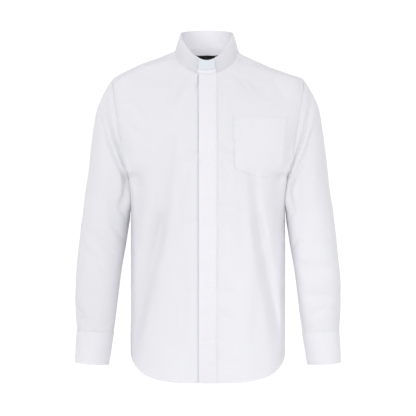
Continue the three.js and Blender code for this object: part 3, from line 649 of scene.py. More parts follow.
# %% [markdown]
# A front runs from the edge under the fly to the side seam or the armhole, and up from the hem to
# the yoke. The strip under the fly ends at the neckband, and past it the panel fans out along the
# neckline. The last few centimetres are drawn onto the yoke's own seam. Folds die out towards the
# panel's edges, over a small share of its width or height.

# %% Front surface
NECK_DRAW_SHARE = 0.85
HEM_CURVE_SHARE = 0.3
STRIP_PROBE = 0.02
STRIP_CARRY = 8
GATHER_POWER = 4
SWELL_POWER = 20


def calm_at_edges(across, up):
    return soft_step(1 - across, 0, 0.05) * soft_step(1 - up, 0, 0.02) * soft_step(up, 0, 0.01)


def front_strip(side, strip_edge, free_edge, across, up):
    rise = np.minimum(up / NECK_SHARE, 1)
    x = mix(strip_edge, free_edge, -across)
    neck = neck_point(side, neck_angle_at(side, x), 0, NECK_SEAM_INSET)
    z = mix(hem_height(x, FRONT_HEM_Z), neck[..., 2], rise)
    miss = neck[..., 1] - front_y(side * x, neck[..., 2])
    relief = front_relief(side * x, z) * soft_step(1 - rise, 0, 0.03) * soft_step(rise, 0, 0.01)
    y = front_y(side * x, z) + miss * soft_step(rise, NECK_DRAW_SHARE, 1) + relief
    return point_at(side * x, y, z)


def front_relief(x, z):
    return crease_depth(FRONT_CREASES, x, z) + uneven(x, z, seed=5, size=0.32)


def front_top_miss(side, across):
    seam = yoke_half(side, np.ones_like(across), across)
    neck = neck_point(side, FRONT_YOKE_ANGLE, 0, NECK_SEAM_INSET)
    arm = armhole_point(-FRONT_YOKE_TURN)
    x = mix(neck[0], arm[0], across)
    z = mix(neck[2], arm[2], across)
    inner_miss = neck[1] - front_y(side * neck[0], neck[2])
    outer_miss = arm[1] - front_y(side * arm[0], arm[2])
    y = front_y(side * x, z) + inner_miss * (1 - across) ** 3 + outer_miss * across ** 3
    return seam - point_at(side * x, y, z)


def front_main(side, strip_edge, across, up):
    rise = np.minimum(up / NECK_SHARE, 1)
    fan = np.clip((up - NECK_SHARE) / (1 - NECK_SHARE), 0, 1)
    angle = mix(neck_angle_at(side, strip_edge), FRONT_YOKE_ANGLE, fan)
    neck = neck_point(side, angle, 0, NECK_SEAM_INSET)
    hem_edge = hem_height(strip_edge, FRONT_HEM_Z)
    inner_x = np.where(fan > 0, neck[..., 0], strip_edge)
    inner_z = np.where(fan > 0, neck[..., 2], mix(hem_edge, neck[..., 2], rise))
    arm = np.clip((up - UNDERARM_SHARE) / (1 - UNDERARM_SHARE), 0, 1)
    arm_turn = -mix(180, FRONT_YOKE_TURN, arm)
    outer = armhole_point(arm_turn)
    side_z = mix(SIDE_HEM_Z, UNDERARM_Z, up / UNDERARM_SHARE)
    outer_z = np.where(arm > 0, outer[..., 2], side_z)
    round_step = np.sin(across * np.pi / 2) ** (2 / SECTION_POWER)
    step = mix(round_step, across, soft_step(up, UNDERARM_SHARE, NECK_SHARE))
    hem_x = mix(strip_edge, HEM_HALF_WIDTH, round_step)
    hem_share = (hem_height(hem_x, FRONT_HEM_Z) - hem_edge) / (SIDE_HEM_Z - hem_edge)
    z = mix(inner_z, outer_z, mix(hem_share, step, soft_step(up, 0, HEM_CURVE_SHARE)))
    outer_x = np.where(arm > 0, outer[..., 0], read(BODY, "z", "half", z))
    x = mix(inner_x, outer_x, step)
    outer_miss = np.where(arm > 0, outer[..., 1] - front_y(side * outer[..., 0], outer[..., 2]), 0)
    inner_miss = neck[..., 1] - front_y(side * neck[..., 0], neck[..., 2])
    inner_miss = inner_miss * soft_step(rise, NECK_DRAW_SHARE, 1)
    easing = np.where(up > 0.97 * NECK_SHARE, soft_step(across, 0, 0.06), 1)
    relief = front_relief(side * x, z) * calm_at_edges(across, up) * easing
    for shape, power in ((GATHER, GATHER_POWER), (SEAM_SWELL, SWELL_POWER)):
        relief = relief - underarm_gather(arm_turn, outer[..., 2], *shape) * across ** power
    y = front_y(side * x, z) + inner_miss * (1 - across) ** 3 + outer_miss * across ** 3 + relief
    pull = soft_step(up, NECK_SHARE, 1)[..., None] * front_top_miss(side, across)
    return point_at(side * x, y, z) + pull


def front_point(side, strip_edge, free_edge, across, up):
    across, up = np.broadcast_arrays(np.asarray(across, float), np.asarray(up, float))
    strip = front_strip(side, strip_edge, free_edge, np.minimum(across, 0), up)
    main = front_main(side, strip_edge, np.maximum(across, 0), up)
    # Past the neckline the strip is only carried on in a straight line, and no cloth is cut there
    start = front_main(side, strip_edge, np.zeros_like(across), up)
    inward = start - front_main(side, strip_edge, np.full_like(across, STRIP_PROBE), up)
    carried = start + inward * np.maximum(-across, 0)[..., None] * STRIP_CARRY
    past_neck = up > NECK_SHARE
    strip = np.where(past_neck[..., None], carried, strip)
    in_strip = (across < 0) | ((across == 0) & ~past_neck)
    return np.where(in_strip[..., None], strip, main)


def left_front(across, up):
    return front_point(1, FLY_STITCH_X, FLY_FREE_X, across, up)


def right_front(across, up):
    return front_point(-1, LAP_EDGE_X, LAP_FREE_X, across, up)


# %% [markdown]
# The back is one panel below the yoke. It hangs a little longer than the front and has the same
# kind of long folds, because cloth that hangs free from the shoulder blades always has them.

# %% Back surface
def back_point(across, up):
    across, up = np.broadcast_arrays(np.asarray(across, float), np.asarray(up, float))
    side = np.where(across < 0, -1, 1)
    share = np.abs(across)
    arm = np.clip((up - UNDERARM_SHARE) / (1 - UNDERARM_SHARE), 0, 1)
    outer = armhole_point(mix(180, BACK_YOKE_TURN, arm))
    side_z = mix(SIDE_HEM_Z, UNDERARM_Z, up / UNDERARM_SHARE)
    outer_z = np.where(arm > 0, outer[..., 2], side_z)
    middle_z = mix(BACK_HEM_Z, BACK_YOKE_Z, up ** 0.8)
    round_step = np.sin(share * np.pi / 2) ** (2 / SECTION_POWER)
    step = mix(round_step, share, soft_step(up, UNDERARM_SHARE, 1))
    hem_z = hem_height(HEM_HALF_WIDTH * round_step, BACK_HEM_Z)
    hem_share = (hem_z - BACK_HEM_Z) / (SIDE_HEM_Z - BACK_HEM_Z)
    z = mix(middle_z, outer_z, mix(hem_share, step, soft_step(up, 0, HEM_CURVE_SHARE)))
    x = step * np.where(arm > 0, outer[..., 0], read(BODY, "z", "half", z))
    miss = np.where(arm > 0, outer[..., 1] - back_y(side * outer[..., 0], outer[..., 2]), 0)
    relief = crease_depth(BACK_CREASES, side * x, z) + uneven(side * x, z, seed=8, size=0.35)
    y = back_y(side * x, z) + miss * step ** 3 - relief * calm_at_edges(share, up)
    return point_at(side * x, y, z)


# %% [markdown]
# A sleeve is a row of tilted rings, from the armhole down to the cuff. Each ring spans the outer
# and the inner edge of the arm as seen from the front. Below the armhole the arm hangs against
# the chest: there the rings reach further in, and what would pass through the body is laid flat
# on it, so that sleeve and body meet in one soft valley. Creases sit at the elbow, where the cloth
# breaks, and below the shoulder, where it drops from the cap. The front of a ring towards the body
# is pressed flatter than a half oval, beside the chest and then, mostly on the left arm, below it.

# %% Sleeve surface
MILLIMETRES_A_DEGREE = 0.9
PRESSED_FLATNESS = 0.4
PRESSED_SPAN = (0.005, 0.06, 0.3, 0.42)
FLATNESS = {-1: 0.05, 1: 0.38}
FLAT_SPAN = (0.2, 0.42, 0.86, 0.97)
INNER_EDGE_POWER = 1.4
BODY_CLEARANCE = 0.2
VALLEY_SOFTNESS = 1.2
VALLEY_END_Z = -420
FAR_OUT = 12
GATHER_SPAN = (0.06, 0.26)
SWELL_SPAN = (0.005, 0.05)
LAID_SPAN = (4, 24)
SEAM_CALM_DEGREES = 25


def ring_point(outer, inner, depth, middle_y, turn, inset, roundness=1.0):
    run = inner - outer
    half = np.hypot(run[..., 0], run[..., 1]) / 2
    cos, sin = np.cos(turn), np.sin(turn)
    power = np.where((cos < 0) & (sin < 0), roundness, 1.0)
    cos, sin = (np.sign(value) * np.abs(value) ** power for value in (cos, sin))
    share = 0.5 - 0.5 * cos * (half - inset) / half
    flat = outer + run * share[..., None]
    y = middle_y + (depth - inset) * sin
    return point_at(flat[..., 0], y, flat[..., 1])


def body_half_at(y, z):
    face = np.where(y < 0, read(BODY, "z", "front", z), read(BODY, "z", "back", z))
    share = np.clip(np.abs(y) / face, 0, 1)
    return read(BODY, "z", "half", z) * (1 - share ** SECTION_POWER) ** (1 / SECTION_POWER)


def lay_on_body(spots, amount):
    """Move the points that lie inside the body out to its side, with a soft bend at the edge."""
    x, y, z = np.moveaxis(spots, -1, 0)
    floor_x = body_half_at(y, z) + BODY_CLEARANCE
    over = (x - floor_x) / VALLEY_SOFTNESS
    laid = floor_x + VALLEY_SOFTNESS * np.logaddexp(0, over)
    laid = np.where(over > FAR_OUT, x, laid)
    return point_at(mix(x, laid, amount), y, z)


def sleeve_point(side, turn, share):
    turn, share = np.broadcast_arrays(np.asarray(turn, float), np.asarray(share, float))
    down = SLEEVE_LENGTH * share
    under = SLEEVE_INNER_LENGTH * share ** INNER_EDGE_POWER
    outer = np.stack([read(SLEEVE_OUTER, "length", name, down) for name in ("x", "z")], axis=-1)
    inner = np.stack([read(SLEEVE_INNER, "length", name, under) for name in ("x", "z")], axis=-1)
    inner[..., 0] -= read(SLEEVE_PRESS, "share", "reach", share)
    depth = read(SLEEVE_ROUND, "share", "depth", share)
    middle_y = read(SLEEVE_ROUND, "share", "y", share)
    degrees = np.degrees(np.arctan2(np.sin(turn), np.cos(turn)))
    round_mm = degrees * MILLIMETRES_A_DEGREE
    relief = crease_depth(SLEEVE_CREASES[side], round_mm, down)
    off_seam = soft_step(180 - np.abs(degrees), 0, SEAM_CALM_DEGREES)
    relief = relief + uneven(down, round_mm * 1.3, seed=20 + side, size=0.3) * off_seam
    relief = relief * soft_step(share, 0.01, 0.06) * soft_step(1 - share, 0, 0.03)
    relief = relief + pucker(down, round_mm, seed=30 + side, size=0.25, reach=14)
    relief = relief + pucker(SLEEVE_LENGTH - down, round_mm, seed=33 + side, size=0.5, reach=12)
    pressed = PRESSED_FLATNESS * between(share, *PRESSED_SPAN)
    roundness = 1 - pressed - FLATNESS[side] * between(share, *FLAT_SPAN)
    spots = ring_point(outer, inner, depth, middle_y, turn, relief, roundness)
    gathered = underarm_gather(degrees, spots[..., 2], *GATHER)
    swollen = underarm_gather(degrees, spots[..., 2], *SEAM_SWELL)
    spots[..., 1] -= gathered * (1 - soft_step(share, *GATHER_SPAN))
    spots[..., 1] -= swollen * (1 - soft_step(share, *SWELL_SPAN))
    spots = lay_on_body(spots, soft_step(under, *LAID_SPAN) * (spots[..., 2] > VALLEY_END_Z))
    return spots * (side, 1, 1)


print("surfaces ready")

# %% [markdown]
# Each sheet of cloth is kept as a grid of points with its outward normals. Its edges are "u0" and
# "u1" at the two ends of its rows, and "v0" and "v1" at the ends of its columns. The grid knows how
# far each point lies from an edge, measured along the cloth, so that hems, seam ridges and rows of
# stitches can be placed in millimetres, as a machinist would. A sewn line draws a groove in the
# cloth, and the sheet keeps a note of where its stitches go.

# %% A sheet as a grid
STITCH_LIFT = 0.15
SHOULDER_BLADE_DROP = 200


def from_edge(values, edge):
    """The same grid, turned so that the edge is its first row."""
    turned = np.moveaxis(values, 0 if edge[0] == "u" else 1, 0)
    return turned[::-1] if edge[1] == "1" else turned


class Sheet:
    def __init__(self, points, outward, wrap=False, keep=None):
        self.points = points
        self.outward = outward
        self.wrap = wrap
        self.keep = keep
        self.seams = []

    def closed(self):
        """The points, with the first row again at the end where the sheet is a ring."""
        return np.concatenate([self.points, self.points[:1]]) if self.wrap else self.points

    def normals(self):
        points = self.points
        if self.wrap:
            points = np.concatenate([points[-1:], points, points[:1]])
        normal = np.cross(np.gradient(points, axis=0), np.gradient(points, axis=1))
        normal /= np.maximum(np.linalg.norm(normal, axis=-1, keepdims=True), 1e-9)
        if self.wrap:
            normal = normal[1:-1]
        facing = np.sum(normal * self.outward(self.points), axis=-1)
        return normal * (1 if np.median(facing) > 0 else -1)

    def distance(self, edge):
        steps = np.linalg.norm(np.diff(from_edge(self.points, edge), axis=0), axis=-1)
        far = np.concatenate([np.zeros((1,) + steps.shape[1:]), np.cumsum(steps, axis=0)])
        if edge[1] == "1":
            far = far[::-1]
        return np.moveaxis(far, 0, 0 if edge[0] == "u" else 1)

    def push(self, amount):
        amount = np.broadcast_to(amount, self.points.shape[:2])
        self.points = self.points + self.normals() * amount[..., None]

    def groove(self, edge, distance, depth=0.35, width=0.9):
        self.push(-depth * np.exp(-((self.distance(edge) - distance) / width) ** 2))

    def raise_edge(self, edge, width, height):
        far = self.distance(edge)
        self.push(height * (1 - soft_step(far, width - 0.9, width + 0.9)))

    def seam(self, edge, distance, depth=0.35, width=0.9, low=0.0, high=1.0):
        """A sewn groove at a distance from an edge, stitched over a share of its length."""
        self.groove(edge, distance, depth, width)
        self.seams.append((edge, distance, low, high))

    def line(self, edge, distance, low, high):
        """Points just above the cloth along a seam, with their normals."""
        far = from_edge(self.distance(edge), edge)
        normals = from_edge(self.normals(), edge)
        points = from_edge(self.points, edge) + normals * STITCH_LIFT
        count = far.shape[1]
        spots = []
        for j in range(int(low * (count - 1)), int(high * (count - 1)) + 1):
            both = np.concatenate([points[:, j], normals[:, j]], axis=1)
            spots.append([np.interp(distance, far[:, j], both[:, k]) for k in range(6)])
        spots = np.array(spots)
        return spots[:, :3], spots[:, 3:]


def torso_outward(points):
    x, y, z = np.moveaxis(points, -1, 0)
    return point_at(0.5 * x, y, np.maximum(z + SHOULDER_BLADE_DROP, 0))


def spread(length, step, fine=12.0, fine_step=0.8, low=0.0, high=1.0):
    """Shares from low to high of a rough length, closer together in a fine stretch at each end."""
    ends = np.arange(0, fine, fine_step)
    middle = np.linspace(fine, length - fine, max(int((length - 2 * fine) / step), 2))
    places = np.concatenate([ends, middle, (length - ends)[::-1]])
    return low + (high - low) * places / length


# %% [markdown]
# The grid becomes a mesh with its own UV map in metres of cloth, which the weave follows. A
# Solidify modifier then gives the sheet its thickness on the inner side, and is applied.

# %% From grid to cloth
CORNERS = [(slice(None, -1), slice(None, -1)), (slice(1, None), slice(None, -1)),
           (slice(1, None), slice(1, None)), (slice(None, -1), slice(1, None))]
SHARP_ANGLE = math.radians(50)


def apply_modifier(piece, name, kind, **settings):
    modifier = piece.modifiers.new(name, kind)
    for key, value in settings.items():
        setattr(modifier, key, value)
    activate(piece)
    bpy.ops.object.modifier_apply(modifier=name)


def mesh_object(name, vertices, faces):
    mesh = bpy.data.meshes.new(name)
    mesh.from_pydata((np.asarray(vertices) / 1000).tolist(), [], np.asarray(faces).tolist())
    mesh.update()
    piece = bpy.data.objects.new(name, mesh)
    bpy.context.scene.collection.objects.link(piece)
    return piece


def faces_of(sheet, whole):
    """The four corners of each face, turned to face outwards, and their places on the cloth."""
    ids = np.arange(sheet.points[..., 0].size).reshape(sheet.points.shape[:2])
    ids = np.concatenate([ids, ids[:1]]) if sheet.wrap else ids
    place = np.stack([whole.distance("u0"), whole.distance("v0")], axis=-1) / 1000
    faces, uv = (np.stack([grid[corner] for corner in CORNERS], axis=2) for grid in (ids, place))
    if sheet.keep is not None:
        faces, uv = faces[sheet.keep], uv[sheet.keep]
    faces, uv = faces.reshape(-1, 4), uv.reshape(-1, 4, 2)
    points, normals = sheet.points.reshape(-1, 3), sheet.normals().reshape(-1, 3)
    a, b, c = (points[faces[:, k]] for k in (0, 1, 3))
    turned = np.sum(np.cross(b - a, c - a) * normals[faces[:, 0]], axis=-1)
    return (faces[:, ::-1], uv[:, ::-1]) if np.median(turned) < 0 else (faces, uv)


def sew(name, sheet, thickness):
    """The sheet as a Blender object, one layer of cloth thick, with its flat size and area."""
    whole = Sheet(sheet.closed(), sheet.outward)
    faces, uv = faces_of(sheet, whole)
    used, faces = np.unique(faces, return_inverse=True)
    piece = mesh_object(name, sheet.points.reshape(-1, 3)[used], faces.reshape(-1, 4))
    layer = piece.data.uv_layers.new(name="cloth")
    layer.data.foreach_set("uv", uv.reshape(-1))
    apply_modifier(piece, "cloth", "SOLIDIFY", thickness=thickness / 1000, offset=-1,
                   use_even_offset=False, use_rim=True)
    piece.data.shade_smooth()
    bpy.ops.object.shade_smooth_by_angle(angle=SHARP_ANGLE)
    across, along = np.diff(whole.points, axis=0)[:, :-1], np.diff(whole.points, axis=1)[:-1]
    patches = np.linalg.norm(np.cross(across, along), axis=-1)
    area = np.sum(patches if sheet.keep is None else patches[sheet.keep]) / 1e6
    flat = [float(np.max(whole.distance(edge))) / 1000 for edge in ("u1", "v1")]
    print(name, "flat", [round(v, 3) for v in flat], "area", round(area, 4))
    piece["area"] = area
    piece["flat"] = flat
    return piece


# %% [markdown]
# Thread is a few tenths of a millimetre thick, and a good shirt has about four stitches to the
# centimetre. Each stitch is one small grain laid along the line, so that a whole shirt's sewing
# stays light. All the stitches of one piece are one mesh. A grain has a point at each end, sunk in
# the cloth, and a ring of four corners at each shoulder.

# %% Stitches
STITCH_PITCH = 2.6
STITCH_LENGTH = 2.0
THREAD_RADIUS = 0.24
THREAD_SINK = 0.12
SHOULDERS = (0.28, 0.72)
GRAIN_RING = [(0, 1), (1, 0), (0, -1), (-1, 0)]

pieces = {}
stitches = {}


def stitch(name, sheet):
    vertices = []
    faces = []
    for seam in sheet.seams:
        points, normals = sheet.line(*seam)
        run = np.concatenate([[0], np.cumsum(np.linalg.norm(np.diff(points, axis=0), axis=1))])
        for centre in np.arange(STITCH_PITCH / 2, run[-1], STITCH_PITCH):
            ends = [centre - STITCH_LENGTH / 2, centre + STITCH_LENGTH / 2]
            start, end = (np.array([np.interp(e, run, points[:, k]) for k in range(3)])
                          for e in ends)
            up = np.array([np.interp(centre, run, normals[:, k]) for k in range(3)])
            along = (end - start) / max(np.linalg.norm(end - start), 1e-6)
            side = np.cross(along, up)
            first = len(vertices)
            vertices.append(start - up * THREAD_SINK)
            for share in SHOULDERS:
                middle = mix(start, end, share)
                for a, b in GRAIN_RING:
                    vertices.append(middle + (side * a + up * b) * THREAD_RADIUS)
            vertices.append(end - up * THREAD_SINK)
            for k in range(4):
                n = (k + 1) % 4
                faces.append((first, first + 1 + k, first + 1 + n))
                faces.append((first + 1 + k, first + 5 + k, first + 5 + n))
                faces.append((first + 1 + k, first + 5 + n, first + 1 + n))
                faces.append((first + 9, first + 5 + n, first + 5 + k))
    piece = mesh_object(name, vertices, faces)
    activate(piece)
    bpy.ops.object.mode_set(mode="EDIT")
    bpy.ops.mesh.select_all(action="SELECT")
    bpy.ops.mesh.normals_make_consistent(inside=False)
    bpy.ops.object.mode_set(mode="OBJECT")
    piece.data.shade_smooth()
    print(name, len(faces), "faces")
    return piece


def make(node, sheet, thickness, kind="cloth", name=None):
    """Sew the sheet and its seams, and note both under the node that they stand for."""
    name = name or node
    pieces[node] = sew(f"{kind}_{name}", sheet, thickness)
    if sheet.seams:
        stitches[node] = stitch(f"stitches_{name}", sheet)


# %% [markdown]
# The fronts come first. The turned hem is a slightly raised band along the bottom edge with a row
# of stitches at its upper edge. Along the armhole and the side seam the cloth is drawn in by the
# stitches and puckers a little. The wearer's right front is pushed in where the left laps over it.

# %% Fronts
HEM = 7
HEM_STITCH = 6
SEAM_STITCH = 8
SIDE_SEAM_STITCH = 1.2
EDGE_STITCH = 2


def sew_hem(sheet, low=0.0, high=1.0, height=0.45):
    sheet.raise_edge("v0", HEM, height)
    sheet.seam("v0", HEM_STITCH, low=low, high=high)


def front_sheet(point, lift=None):
    across = np.concatenate([np.linspace(-1, 0, 20), spread(205, step=2.5)[1:]])
    up = np.concatenate([spread(690, step=3.3, high=NECK_SHARE),
                         np.linspace(NECK_SHARE, 1, 32)[1:]])
    points = point(across[:, None], up[None, :])
    rows, columns = np.meshgrid(across[:-1], up[:-1], indexing="ij")
    keep = (rows >= 0) | (columns < NECK_SHARE - 1e-9)
    sheet = Sheet(points, torso_outward, keep=keep)
    if lift is not None:
        sheet.push(lift(points, up[None, :]))
    gathers = pucker(sheet.distance("u1"), sheet.distance("v0"), seed=40)
    sheet.push(gathers * soft_step(up[None, :], 0.02, 0.05))
    sew_hem(sheet, low=0.02)
    sheet.seam("u1", SEAM_STITCH, depth=0.3, low=UNDERARM_SHARE)
    sheet.seam("u1", SIDE_SEAM_STITCH, depth=0, high=UNDERARM_SHARE)
    return sheet


def lap_lift(points, up):
    inwards = -points[..., 0]
    step = mix(LAP_STEP, LAP_STEP_AT_EDGE, soft_step(inwards, BUTTON_ROOM_X, -FLY_FREE_X))
    step = mix(step, LAP_STEP_AT_NECK, soft_step(up, 0.9 * NECK_SHARE, NECK_SHARE))
    return -step * (1 - soft_step(inwards, LAP_EDGE_X, LAP_STEP_END_X))


make("front_left", front_sheet(left_front), CLOTH)
make("front_right", front_sheet(right_front, lap_lift), CLOTH)

# %% [markdown]
# The fly is a separate strip that covers the buttons. It is fused, so it lies flatter than the
# body, but the thread that holds it draws it in at short intervals, most of all beside a button.

# %% Fly
FLY_THICK = 1.2
FLY_PUCKER_TILT = 0.12
FLY_PUCKERS = table(["z", "depth", "width"], [
    (-118, 0.5, 6),
    (-168, 0.35, 9),
    (-253, 0.8, 6),
    (-268, 0.5, 5),
    (-318, 0.4, 8),
    (-360, 0.9, 6),
    (-410, 0.8, 7),
    (-462, 0.4, 8),
    (-505, 0.4, 6),
    (-557, 0.9, 6),
    (-572, 0.5, 5),
    (-610, 0.9, 6),
    (-671, 1.0, 6),
    (-688, 0.5, 5),
    (-735, 0.5, 8),
])


def fly_sheet():
    across = np.concatenate([np.linspace(-1, -0.9, 8), np.linspace(-0.9, -0.12, 24)[1:],
                             np.linspace(-0.12, 0, 10)[1:]])
    up = spread(690, step=2.2, high=NECK_SHARE)
    sheet = Sheet(left_front(across[:, None], up[None, :]), torso_outward)
    sheet.push(FLY_LIFT)
    z = sheet.points[..., 2]
    tilt = sheet.points[..., 0] * FLY_PUCKER_TILT
    for level, depth, width in zip(FLY_PUCKERS["z"], FLY_PUCKERS["depth"], FLY_PUCKERS["width"]):
        sheet.push(-depth * np.exp(-((z - level - tilt) / width) ** 2))
    run = sheet.distance("v0")
    sheet.push(pucker(sheet.distance("u1"), run, seed=51, size=0.3, reach=10))
    sheet.seam("u1", EDGE_STITCH, depth=0.4)
    sew_hem(sheet, height=0.3)
    return sheet


make("fly_placket", fly_sheet(), FLY_THICK, name="fly")

# %% [markdown]
# The back and the yoke follow. The yoke's edges are turned under and stitched close to the seam,
# so they stand a little proud of the panels they hold.

# %% Back and yoke
YOKE_TURNING = 4.5


def back_sheet():
    across = spread(430, step=2.9, low=-1)
    up = spread(670, step=3.8)
    sheet = Sheet(back_point(across[:, None], up[None, :]), torso_outward)
    for edge in ("u0", "u1"):
        gathers = pucker(sheet.distance(edge), sheet.distance("v0"), seed=44)
        sheet.push(gathers * soft_step(up[None, :], 0.02, 0.05))
        sheet.seam(edge, SEAM_STITCH, depth=0.3)
    sheet.push(pucker(sheet.distance("v1"), sheet.distance("u0"), seed=47, size=0.35))
    sew_hem(sheet, low=0.02, high=0.98)
    return sheet


def yoke_sheet():
    half = np.concatenate([spread(230, 2.9, 3, 1.0, high=YOKE_CORNER_SHARE),
                           spread(120, 2.5, 8, low=YOKE_CORNER_SHARE)[1:]])
    around = np.concatenate([-half[:0:-1], half])
    out = spread(150, 2.4, 8)
    sheet = Sheet(yoke_point(around[:, None], out[None, :]), torso_outward)
    x, y, z = np.moveaxis(sheet.points, -1, 0)
    calm = soft_step(sheet.distance("v0"), 2, 16) * soft_step(sheet.distance("v1"), 2, 16)
    sheet.push(-uneven(x, y + z, seed=12, size=0.3) * calm)
    for edge in ("u0", "u1", "v1"):
        sheet.push(pucker(sheet.distance(edge), x * 0.9 + z, seed=48, size=0.3, reach=8))
        sheet.raise_edge(edge, YOKE_TURNING, 0.5)
        sheet.seam(edge, EDGE_STITCH, depth=0.3, width=0.7)
    return sheet


make("back", back_sheet(), CLOTH)
make("yoke", yoke_sheet(), CLOTH)

# %% [markdown]
# The band collar is a fused strip in the shape of a C. Its two ends leave a window at the front
# for the tab, a thin white plastic strip that slips in behind them, and the inner layer of the band
# carries on below the tab. The band bows out a little between its seam and its top edge.

# %% Collar
def band_sheet(first, last, low, high, inset, bow=0.8, step=1.6):
    angles = spread(abs(last - first) * 1.2, step, 6, 0.7, first, last)
    levels = spread(40 * (high - low), 1.4, 5, 0.6, low, high)
    points = neck_point(1, angles[:, None], levels[None, :], inset)
    points = points + (0, 0, 0.3)
    sheet = Sheet(points, lambda spots: spots * (1, 1, 0))
    sheet.push(bow * np.sin(np.pi * levels)[None, :])
    return sheet


band = band_sheet(WINDOW_HALF_ANGLE, 360 - WINDOW_HALF_ANGLE, low=0, high=1, inset=0)
run = band.distance("u0")
band.push(uneven(run * 1.4, band.points[..., 2] * 2, seed=60, size=0.16))
band.push(pucker(band.distance("v0"), run, seed=61, size=0.25, reach=7))
for edge, distance in (("v0", 2.2), ("v1", 3), ("u0", EDGE_STITCH), ("u1", EDGE_STITCH)):
    band.seam(edge, distance, depth=0.3, width=0.7)
make("neckband", band, BAND)

lap = band_sheet(-24, 24, low=0, high=0.96, inset=BAND + 1.8, bow=0.4)
lap.push(1.6 * (1 - soft_step(lap.distance("v0"), 8, 12)))
lap.seam("v0", 3, width=0.8, low=0.1, high=0.9)
lap.groove("v0", 9.5, depth=0.25, width=0.8)
make("neckband_underlap", lap, CLOTH)

tab = band_sheet(-25, 25, low=TAB_BOTTOM_LEVEL, high=0.955, inset=BAND + 0.5, bow=0.5)
make("collar_tab", tab, thickness=0.9, kind="plastic")

# %% [markdown]
# The pocket is a patch with a pointed bottom. To lie on the chest it has to know the front panel's
# surface at any point of the front view, so a few steps of Newton's method find the panel's own
# coordinates there. Its top edge is turned in and stitched, its mouth stands off the chest a
# little, and its sides are stitched close in.

# %% Pocket
POCKET_TOP_LEFT = (58, -163)
POCKET_TOP_RIGHT = (180, -167)
POCKET_BOTTOM_LEFT = (61, -281)
POCKET_TIP = (118, -303)
POCKET_BOTTOM_RIGHT = (170, -290)
POCKET_HEM = 28
POCKET_STITCH = 1.8
POCKET_LIFT = 1.3
HEM_LIFT = 0.35
MOUTH_MIDDLE = 0.45
MOUTH_WIDTH = 0.28
MOUTH_DEPTH = 24
MOUTH_LIFT = 0.9
ROUGH_WIDTH = 190
ROUGH_HEIGHT = 780
NEWTON_STEPS = 14


def on_left_front(x, z):
    across = np.clip((x - FLY_STITCH_X) / ROUGH_WIDTH, 0.05, 0.95)
    up = np.clip((z - FRONT_HEM_Z) / ROUGH_HEIGHT, 0.05, 0.95)
    reach = 1e-4
    for _ in range(NEWTON_STEPS):
        here = left_front(across, up)
        by_across = (left_front(across + reach, up) - here) / reach
        by_up = (left_front(across, up + reach) - here) / reach
        miss_x = x - here[..., 0]
        miss_z = z - here[..., 2]
        scale = 1 / (by_across[..., 0] * by_up[..., 2] - by_up[..., 0] * by_across[..., 2])
        step_across = (by_up[..., 2] * miss_x - by_up[..., 0] * miss_z) * scale
        step_up = (by_across[..., 0] * miss_z - by_across[..., 2] * miss_x) * scale
        across = np.clip(across + np.clip(step_across, -0.2, 0.2), 0.01, 0.99)
        up = np.clip(up + np.clip(step_up, -0.2, 0.2), 0.01, 0.99)
    return left_front(across, up)


def pocket_sheet():
    tip_share = ((POCKET_TIP[0] - POCKET_BOTTOM_LEFT[0])
                 / (POCKET_BOTTOM_RIGHT[0] - POCKET_BOTTOM_LEFT[0]))
    across = np.unique(np.append(spread(122, 2.0, 6, 0.6), tip_share))[:, None]
    down = spread(130, 2.0, 6, 0.6)[None, :]
    shares = [0, tip_share, 1]
    corners = [POCKET_BOTTOM_LEFT, POCKET_TIP, POCKET_BOTTOM_RIGHT]
    bottom_x, bottom_z = (np.interp(across, shares, [c[k] for c in corners]) for k in (0, 1))
    x = mix(mix(POCKET_TOP_LEFT[0], POCKET_TOP_RIGHT[0], across), bottom_x, down)
    z = mix(mix(POCKET_TOP_LEFT[1], POCKET_TOP_RIGHT[1], across), bottom_z, down)
    sheet = Sheet(on_left_front(x, z), torso_outward)
    hem = 1 - soft_step(sheet.distance("v0"), POCKET_HEM - 0.8, POCKET_HEM + 0.8)
    mouth = (np.exp(-((across - MOUTH_MIDDLE) / MOUTH_WIDTH) ** 2)
             * np.exp(-(sheet.distance("v0") / MOUTH_DEPTH) ** 2))
    sheet.push(POCKET_LIFT + HEM_LIFT * hem + MOUTH_LIFT * mouth)
    for edge in ("u0", "u1", "v1"):
        along = sheet.distance("v0" if edge[0] == "u" else "u0")
        sheet.push(pucker(sheet.distance(edge), along, seed=70, size=0.35, reach=8))
        sheet.seam(edge, POCKET_STITCH, depth=0.2)
    sheet.seam("v0", POCKET_HEM - EDGE_STITCH, depth=0.2)
    return sheet


make("pocket", pocket_sheet(), CLOTH)

# %% [markdown]
# Sleeves, their opening strips and the cuffs are made in a loop for the two arms. The head of the
# sleeve is tucked in at the armhole seam. The strip covers the slit behind the wrist, narrows to a
# point above, and the cuff laps over itself there and is held by one button.

# %% Sleeves and cuffs
HEAD_SHARE = 0.004
HEAD_TUCK = 0.03
HEAD_SHIFT = 2.5
LAP_TURN = math.radians(62)
PLACKET_HALF_TURN = 12 / 44
PLACKET_SPAN = (0.775, 0.99)
PLACKET_POINT = 0.12
PLACKET_LIFT = 1.4
FOREARM_MIDDLE = (262, -18)
CUFF_LAP_TURN = 25 / 38
CUFF_STEP = 2.7
CUFF_STEP_TURN = 0.35
CUFF_STITCH = 6
CUFF_SEAM = {"outer": (305.5, -656), "inner": (220, -660), "depth": 36, "y": -24}
CUFF_HEM = {"outer": (309.5, -731), "inner": (232.4, -737), "depth": 40, "y": -26}


